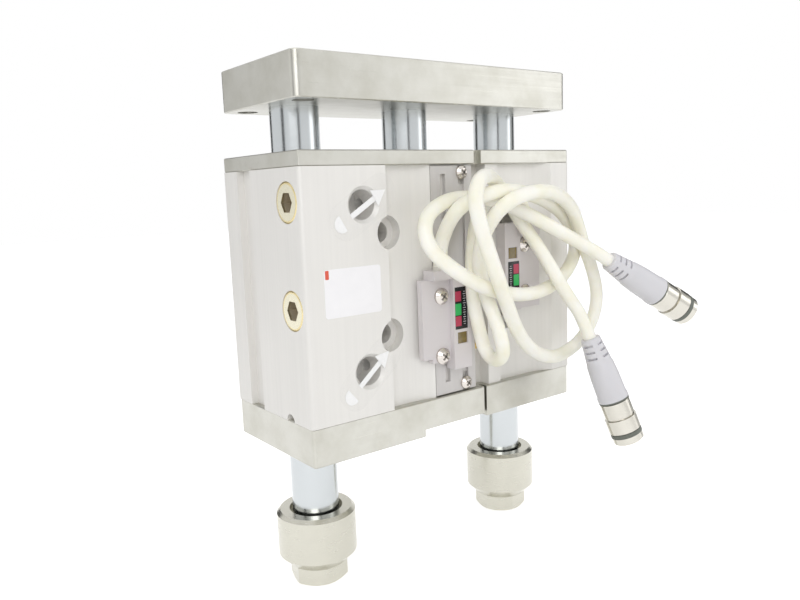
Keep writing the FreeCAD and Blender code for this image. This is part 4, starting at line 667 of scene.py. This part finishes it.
class CYLINDER_OT_stage(bpy.types.Operator):
    """Sets up the camera, the floor, the lamps, the cards and the white surround"""

    bl_idname = "cylinder.stage"
    bl_label = "Stage"

    def execute(self, context):
        sizes = context.scene.studio_sizes
        scene = context.scene
        scene.view_settings.view_transform = "Standard"
        camera = bpy.data.objects.new("camera", bpy.data.cameras.new("camera"))
        scene.collection.objects.link(camera)
        camera.data.sensor_width = 36
        camera.data.lens = sizes.lens
        camera.data.clip_start = 0.01
        ahead = Vector(sizes.camera_aim).normalized()
        right = Vector(sizes.camera_right)
        right = (right - ahead * right.dot(ahead)).normalized()
        up = right.cross(ahead)
        turn = Matrix((right, up, -ahead)).transposed().to_4x4()
        camera.matrix_world = Matrix.Translation(sizes.camera_place) @ turn
        scene.camera = camera
        self.floor()
        self.surround(scene, sizes)
        self.lamp(scene, "key lamp", (-0.9, -1.1, 0.75), 0.9, sizes.key_power)
        self.lamp(scene, "fill lamp", (1.1, -0.7, 0.35), 0.8, sizes.fill_power)
        self.lamp(scene, "top lamp", (0.2, 0.5, 1.3), 0.9, sizes.fill_power)
        for name, (bearing, width, tone) in CARDS.items():
            material, tree, shader, _ = start_material(name + " paper")
            feed(tree, shader, Base_Color=linear(tone), Roughness=0.9)
            self.card(sizes, name, bearing, width, material)
        return {"FINISHED"}

    def card(self, sizes, name, bearing, width, material):
        """An upright card that many degrees round from the camera, seen only in reflections."""
        toward = Vector((sizes.camera_place[0], sizes.camera_place[1], 0)).normalized()
        toward = Matrix.Rotation(math.radians(bearing), 3, "Z") @ toward
        bm = bmesh.new()
        bmesh.ops.create_grid(bm, x_segments=1, y_segments=1, size=0.5)
        bmesh.ops.scale(bm, verts=bm.verts, vec=(width, CARD_HEIGHT, 1))
        turn = toward.to_track_quat("Z", "Y").to_matrix()
        place = Matrix.Translation(toward * CARD_DISTANCE)
        bmesh.ops.transform(bm, verts=bm.verts, matrix=place @ turn.to_4x4())
        card = link_mesh(name, bm, material)
        card.visible_camera = False
        card.visible_diffuse = False
        card.visible_shadow = False
        card.visible_transmission = False

    def floor(self):
        """A pale floor that the object stands on, white to the camera but for its shadow."""
        material, tree, shader, _ = start_material("pale studio floor")
        feed(tree, shader, Base_Color=linear("#F4F4F4"), Roughness=0.8)
        lift = add(tree, "Math", {0: plain_sight(tree), 1: FLOOR_GLOW}, operation="MULTIPLY")
        white = add(tree, "Emission", {"Color": (1, 1, 1, 1), "Strength": lift.outputs["Value"]})
        both = add(tree, "AddShader", {0: shader.outputs["BSDF"], 1: white.outputs["Emission"]})
        output = [n for n in tree.nodes if n.bl_idname == "ShaderNodeOutputMaterial"][0]
        tree.links.new(both.outputs["Shader"], output.inputs["Surface"])
        bm = bmesh.new()
        bmesh.ops.create_grid(bm, x_segments=1, y_segments=1, size=3)
        bmesh.ops.translate(bm, verts=bm.verts, vec=(0, 0, CAD_BOX[0][2]))
        floor = link_mesh("floor", bm, material)

    def surround(self, scene, sizes):
        """Even light from all round, which the camera, metal and glass see as white."""
        world = bpy.data.worlds.new("white surround")
        scene.world = world
        world.use_nodes = True
        tree = world.node_tree
        tree.nodes.clear()
        strength = add(tree, "MapRange", {
            "Value": plain_sight(tree), "To Min": sizes.ambient, "To Max": 1.0})
        background = add(tree, "Background", {
            "Color": (1, 1, 1, 1), "Strength": strength.outputs["Result"]})
        add(tree, "OutputWorld", {"Surface": background.outputs["Background"]})

    def lamp(self, scene, name, place, size, power):
        """A square soft lamp that faces the object."""
        data = bpy.data.lights.new(name, "AREA")
        data.energy = power
        data.size = size
        lamp = bpy.data.objects.new(name, data)
        scene.collection.objects.link(lamp)
        aim = -Vector(place)
        lamp.matrix_world = (
            Matrix.Translation(place) @ aim.to_track_quat("-Z", "Y").to_matrix().to_4x4())


class CYLINDER_OT_leads(bpy.types.Operator):
    """Lays the two switch leads over the front, each ending in its connector's sleeve"""

    bl_idname = "cylinder.leads"
    bl_label = "Switch leads"

    def execute(self, context):
        thickness = context.scene.mark_sizes.lead_thickness
        colours = context.scene.finish_colours
        material = vinyl_sheath(colours.sheath)
        resin = moulded_resin("moulded connector resin", colours.connector, 0.4, 0.1)
        for side, route in LEAD_ROUTES.items():
            points = [LEAD_EXITS[side]] + route
            lead = lead_curve("lead_" + side, points, thickness, material)
            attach(lead, "cylinder")
            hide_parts("cord_" + side)
            ends = [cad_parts["connector_%s_%s" % (side, part)]
                    for part in ("nut", "insert")]
            [relief_sleeve(side, resin)] + ends
        return {"FINISHED"}


class CYLINDER_OT_body(bpy.types.Operator):
    """Finishes the extruded body, the covers and the rails"""

    bl_idname = "cylinder.body"
    bl_label = "Body and rails"

    def execute(self, context):
        colours = context.scene.finish_colours
        finish_nodes(["cylinder_body"], anodised_aluminium(colours.anodised))
        rails = anodised_aluminium(linear("#D0CDCB"), "anodised rail aluminium")
        finish_nodes(["switch_rail", "switch_seat_right"], rails)
        covers = turned_metal("turned cover aluminium", linear("#CFCFCD"), 0.5, 0.28, 0.42)
        finish_nodes(["rod_cover", "head_cover", "piston"], covers)
        return {"FINISHED"}


class CYLINDER_OT_plates(bpy.types.Operator):
    """Finishes the tooling plate and the two end plates"""

    bl_idname = "cylinder.plates"
    bl_label = "Plates"

    def execute(self, context):
        colour = context.scene.finish_colours.nickel
        along = ground_nickel(colour, (30, 0.35, 0.35))
        finish_nodes(["tooling_plate", "rod_end_plate", "head_end_plate"], along)
        return {"FINISHED"}


class CYLINDER_OT_rods(bpy.types.Operator):
    """Finishes the chromed rods and what guides and seals them"""

    bl_idname = "cylinder.rods"
    bl_label = "Rods, bushings and seals"

    def execute(self, context):
        colours = context.scene.finish_colours
        finish_nodes(["guide_rod_left", "guide_rod_right", "piston_rod"],
                     hard_chrome(colours.chrome))
        finish_nodes(
            ["bushing_left_upper", "bushing_left_lower", "bushing_right_upper",
             "bushing_right_lower"],
            turned_metal("ground bearing steel", linear("#B9BBBD"), 0.3, 0.12, 0.2))
        finish_nodes(["bushing_ball_cages"],
                     moulded_resin("moulded cage resin", linear("#2F3133"), 0.45))
        finish_nodes(["rod_bush"],
                     turned_metal("sintered bronze", linear("#B98A55"), 0.4, 0.35, 0.5))
        finish_nodes(["piston_magnet"],
                     moulded_resin("bonded ferrite magnet", linear("#3A3634"), 0.6))
        finish_nodes(["piston_wear_ring"],
                     moulded_resin("bearing tape", linear("#7A5C46"), 0.5))
        finish_nodes(
            ["guide_rod_wipers", "rod_scraper", "rod_seal", "rod_cover_oring",
             "head_cover_oring", "piston_seals", "piston_bumpers"], black_rubber())
        return {"FINISHED"}


class CYLINDER_OT_fasteners(bpy.types.Operator):
    """Finishes the stop collars, bolts, screws, rings and brass plugs"""

    bl_idname = "cylinder.fasteners"
    bl_label = "Collars, bolts and plugs"

    def execute(self, context):
        colours = context.scene.finish_colours
        collars = turned_metal("turned nickel plated steel", linear("#CCCABF"), 0.9, 0.24, 0.28)
        finish_nodes(["stop_collar_left", "stop_collar_right", "stop_bolts"], collars)
        bolts = turned_metal("nickel plated bolt steel", linear("#CDCBC0"), 0.5, 0.22, 0.34)
        finish_nodes(["plate_bolts", "piston_nut"], bolts)
        zinc = turned_metal("bright zinc plated steel", linear("#D8D2CC"), 0.3, 0.16, 0.28)
        finish_nodes(["rod_end_plate_screws", "head_end_plate_screws", "rail_screws",
                      "switch_left_screws", "switch_right_screws"], zinc)
        finish_nodes(["rod_retaining_ring", "head_retaining_ring"],
                     turned_metal("phosphated spring steel", linear("#4A4643"), 0.4, 0.4, 0.5))
        brass = turned_metal("turned brass", colours.brass, 0.5, 0.2, 0.34)
        finish_nodes(["channel_screw"], brass)
        finish_nodes(["port_plugs"], plug_brass(colours.brass))
        self.crosses()
        finish_nodes(["channel_nut"],
                     turned_metal("turned nut brass", linear("#C9B27C"), 0.5, 0.25, 0.4))
        return {"FINISHED"}

    def crosses(self):
        """The cross recess in each pan head, as a thin inlay in the colour of its painted shadow.
        """
        shade = moulded_resin("shadow in a cross recess", linear("#857F77"), 0.6)
        for name, (across, top, heights, size) in PAN_HEADS.items():
            bm = bmesh.new()
            for height in heights:
                for turn in CROSS_TURNS:
                    arm = bmesh.new()
                    patch(arm, size * MM, CROSS_ARM * MM, 0.5 * MM, 0.15 * MM, 2)
                    bmesh.ops.rotate(
                        arm, verts=arm.verts, matrix=Matrix.Rotation(math.radians(turn), 3, "Y"))
                    bmesh.ops.translate(
                        arm, verts=arm.verts,
                        vec=(across * MM, (top + 0.44) * MM, height * MM))
                    join(bm, arm)
            new_piece("screw_crosses_" + name, bm, shade, "cylinder")


class CYLINDER_OT_switches(bpy.types.Operator):
    """Finishes the two switches and draws the coloured fields of their displays"""

    bl_idname = "cylinder.switches"
    bl_label = "Switches"

    def execute(self, context):
        colours = context.scene.finish_colours
        resin = moulded_resin("moulded switch resin", colours.resin, 0.45, 0.1)
        black = glossy_black("polished black acrylic", "#26272A")
        lens = amber_lens()
        for side in ("left", "right"):
            finish_nodes(["switch_%s_housing" % side], resin)
            finish_nodes(["switch_%s_display" % side], black)
            finish_nodes(["switch_%s_lens" % side], lens)
            finish_nodes(["switch_%s_grommet" % side],
                         moulded_resin("moulded grommet vinyl", linear("#E9E7DE"), 0.5))
        red = print_ink("red display ink", "#C4405E", 0.3)
        green = print_ink("green display ink", "#35C266", 0.3)
        low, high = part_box("switch_left_display")
        for name, (top, bottom) in DISPLAY_FIELDS.items():
            ink = green if name == "green" else red
            for side in ("left", "right"):
                bm = bmesh.new()
                patch(bm, FIELD_WIDTH * MM, (bottom - top) * MM, 0.08 * MM, 0.2 * MM, 3)
                middle = high.z - (top + bottom) / 2 * MM
                bmesh.ops.translate(
                    bm, verts=bm.verts, vec=(low.x + 1.95 * MM, low.y, middle))
                if side == "right":
                    self.half_turn(bm)
                new_piece("display_%s_%s" % (side, name), bm, ink, "cylinder")
        self.ticks(low, high, print_ink("white display ink", "#D9D9DC", 0.4))
        return {"FINISHED"}

    def ticks(self, low, high, ink):
        """A plain scale of short lines beside the coloured fields of each display."""
        for side in ("left", "right"):
            bm = bmesh.new()
            for step in range(TICK_COUNT):
                line = bmesh.new()
                patch(line, TICK_LENGTHS[step % 2] * MM, 0.3 * MM, 0.05 * MM, 0.1 * MM, 2)
                bmesh.ops.translate(line, verts=line.verts, vec=(
                    high.x - 1.7 * MM, low.y, high.z - (2.1 + step) * MM))
                join(bm, line)
            if side == "right":
                self.half_turn(bm)
            new_piece("display_ticks_" + side, bm, ink, "cylinder")

    def half_turn(self, bm):
        """Carries a piece from the left switch to the right one, which is fitted half round."""
        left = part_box("switch_left_display")
        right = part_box("switch_right_display")
        centre = (left[0] + left[1] + right[0] + right[1]) / 4
        bmesh.ops.rotate(
            bm, verts=bm.verts, cent=(centre.x, 0, centre.z),
            matrix=Matrix.Rotation(math.pi, 3, "Y"))
        bmesh.ops.translate(bm, verts=bm.verts, vec=(0, right[0].y - left[0].y, 0))


class CYLINDER_OT_connectors(bpy.types.Operator):
    """Finishes nuts and inserts; adds seam rings, and rings of painted shade at the nut ends"""

    bl_idname = "cylinder.connectors"
    bl_label = "Connectors"

    def execute(self, context):
        metal = turned_metal("nickel plated brass nut", linear("#D0CDC4"), 0.4, 0.14, 0.26)
        insert = moulded_resin("moulded contact insert", linear("#232326"), 0.45)
        # One grey for the rubber seam ring and for the ring of painted shade at each nut's end.
        rubber = moulded_resin("seam rubber and painted nut end shade", linear("#6A6E66"), 0.5)
        for side in ("left", "right"):
            finish_nodes(["connector_%s_nut" % side], metal)
            finish_nodes(["connector_%s_insert" % side], insert)
            seat = connector_seat(side)
            for name, body, sizes in (("seam_ring_", "cylinder", SEAM_RING),
                                      ("nut_shade_ring_", side + "_nut", NUT_SHADE_RING)):
                low, high, inner, outer = sizes
                bm = bmesh.new()
                spun(bm, [(inner, low), (outer, low), (outer, high), (inner, high)], True)
                bmesh.ops.transform(bm, verts=bm.verts, matrix=seat)
                new_piece(name + side, bm, rubber, body, smooth=True)
        return {"FINISHED"}


class CYLINDER_OT_marks(bpy.types.Operator):
    """Sticks on the blank label and the clear films over the two ports"""

    bl_idname = "cylinder.marks"
    bl_label = "Label and port films"

    def execute(self, context):
        sizes = context.scene.mark_sizes
        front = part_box("cylinder_body")[0].y
        bm = bmesh.new()
        patch(bm, sizes.label_width, sizes.label_height, LABEL_THICKNESS * MM, 1.2 * MM)
        bmesh.ops.translate(
            bm, verts=bm.verts, vec=(LABEL_PLACE[0] * MM, front, LABEL_PLACE[1] * MM))
        new_piece("label", bm, label_vinyl(), "cylinder")
        bm = bmesh.new()
        patch(bm, 1.6 * MM, 3.4 * MM, 0.05 * MM, 0.3 * MM)
        bmesh.ops.translate(
            bm, verts=bm.verts,
            vec=(LABEL_MARK_PLACE[0] * MM, front - LABEL_THICKNESS * MM, LABEL_MARK_PLACE[1] * MM))
        new_piece("label_mark", bm, print_ink("orange label ink", "#E4604A"), "cylinder")
        film = clear_film()
        white = print_ink("white film ink", "#FFFFFF", 0.45)
        for name, (place, slant) in PORT_MARKS.items():
            self.port_film(name, place, slant, front, sizes, film, white)
        return {"FINISHED"}

    def port_film(self, name, place, slant, front, sizes, film, white):
        """A clear film over one port, with a half-moon and an arrow printed on it."""
        slant = Matrix.Rotation(math.radians(-slant), 3, "Y")
        seat = Vector((place[0] * MM, front - 0.04 * MM, (place[1] - 0.8) * MM))
        bm = bmesh.new()
        patch(bm, sizes.film_length, sizes.film_width, FILM_THICKNESS * MM,
              sizes.film_width * 0.45)
        bmesh.ops.rotate(bm, verts=bm.verts, matrix=slant)
        bmesh.ops.translate(bm, verts=bm.verts, vec=seat)
        new_piece("port_film_" + name, bm, film, "cylinder")
        bm = bmesh.new()
        bmesh.ops.create_circle(
            bm, cap_ends=True, radius=HALF_MOON_RADIUS * MM, segments=40)
        bmesh.ops.bisect_plane(
            bm, geom=bm.verts[:] + bm.edges[:] + bm.faces[:], plane_co=(0.6 * MM, 0, 0),
            plane_no=(1, 0, 0), clear_outer=True)
        bmesh.ops.rotate(bm, verts=bm.verts, matrix=Matrix.Rotation(math.pi / 2, 3, "X"))
        bm.faces.ensure_lookup_table()
        thicken(bm, bm.faces[0], INK_THICKNESS * MM)
        bmesh.ops.translate(
            bm, verts=bm.verts, vec=(HALF_MOON_PLACE * MM, -FILM_THICKNESS * MM, 0))
        self.arrow(bm)
        bmesh.ops.rotate(bm, verts=bm.verts, matrix=slant)
        bmesh.ops.translate(bm, verts=bm.verts, vec=seat)
        new_piece("port_mark_" + name, bm, white, "cylinder")

    def arrow(self, bm):
        """A plain arrow along X, printed across the port."""
        shaft = bmesh.new()
        length, width = ARROW_SHAFT
        patch(shaft, length * MM, width * MM, INK_THICKNESS * MM, 0.3 * MM, 3)
        bmesh.ops.translate(shaft, verts=shaft.verts, vec=(-0.5 * MM, -FILM_THICKNESS * MM, 0))
        join(bm, shaft)
        head = bmesh.new()
        bmesh.ops.create_circle(
            head, cap_ends=True, radius=ARROW_HEAD_RADIUS * MM, segments=3)
        bmesh.ops.rotate(head, verts=head.verts, matrix=Matrix.Rotation(-math.pi / 2, 3, "Z"))
        bmesh.ops.rotate(head, verts=head.verts, matrix=Matrix.Rotation(math.pi / 2, 3, "X"))
        head.faces.ensure_lookup_table()
        thicken(head, head.faces[0], INK_THICKNESS * MM)
        bmesh.ops.translate(
            head, verts=head.verts, vec=(ARROW_HEAD_PLACE * MM, -FILM_THICKNESS * MM, 0))
        join(bm, head)


class VIEW3D_PT_guided_cylinder(bpy.types.Panel):
    """Lists the steps that make the guided cylinder"""

    bl_label = "Guided Cylinder"
    bl_space_type = "VIEW_3D"
    bl_region_type = "UI"
    bl_category = "Guided Cylinder"

    def draw(self, context):
        for step in STEPS:
            self.layout.operator(step.bl_idname)


STEPS = (
    CYLINDER_OT_stage, CYLINDER_OT_leads, CYLINDER_OT_body, CYLINDER_OT_plates,
    CYLINDER_OT_rods, CYLINDER_OT_fasteners, CYLINDER_OT_switches, CYLINDER_OT_connectors,
    CYLINDER_OT_marks)
CLASSES = (StudioSizes, FinishColours, MarkSizes) + STEPS + (VIEW3D_PT_guided_cylinder,)


def register():
    """Registers the classes and hangs their settings on the scene."""
    for cls in CLASSES:
        bpy.utils.register_class(cls)
    bpy.types.Scene.studio_sizes = PointerProperty(type=StudioSizes)
    bpy.types.Scene.finish_colours = PointerProperty(type=FinishColours)
    bpy.types.Scene.mark_sizes = PointerProperty(type=MarkSizes)


def unregister():
    """Takes the settings and the classes away again."""
    del bpy.types.Scene.mark_sizes
    del bpy.types.Scene.finish_colours
    del bpy.types.Scene.studio_sizes
    for cls in reversed(CLASSES):
        bpy.utils.unregister_class(cls)


def main():
    """Makes every piece in order."""
    register()
    for step in STEPS:
        group, name = step.bl_idname.split(".")
        getattr(getattr(bpy.ops, group), name)()


if __name__ == "__main__":
    main()
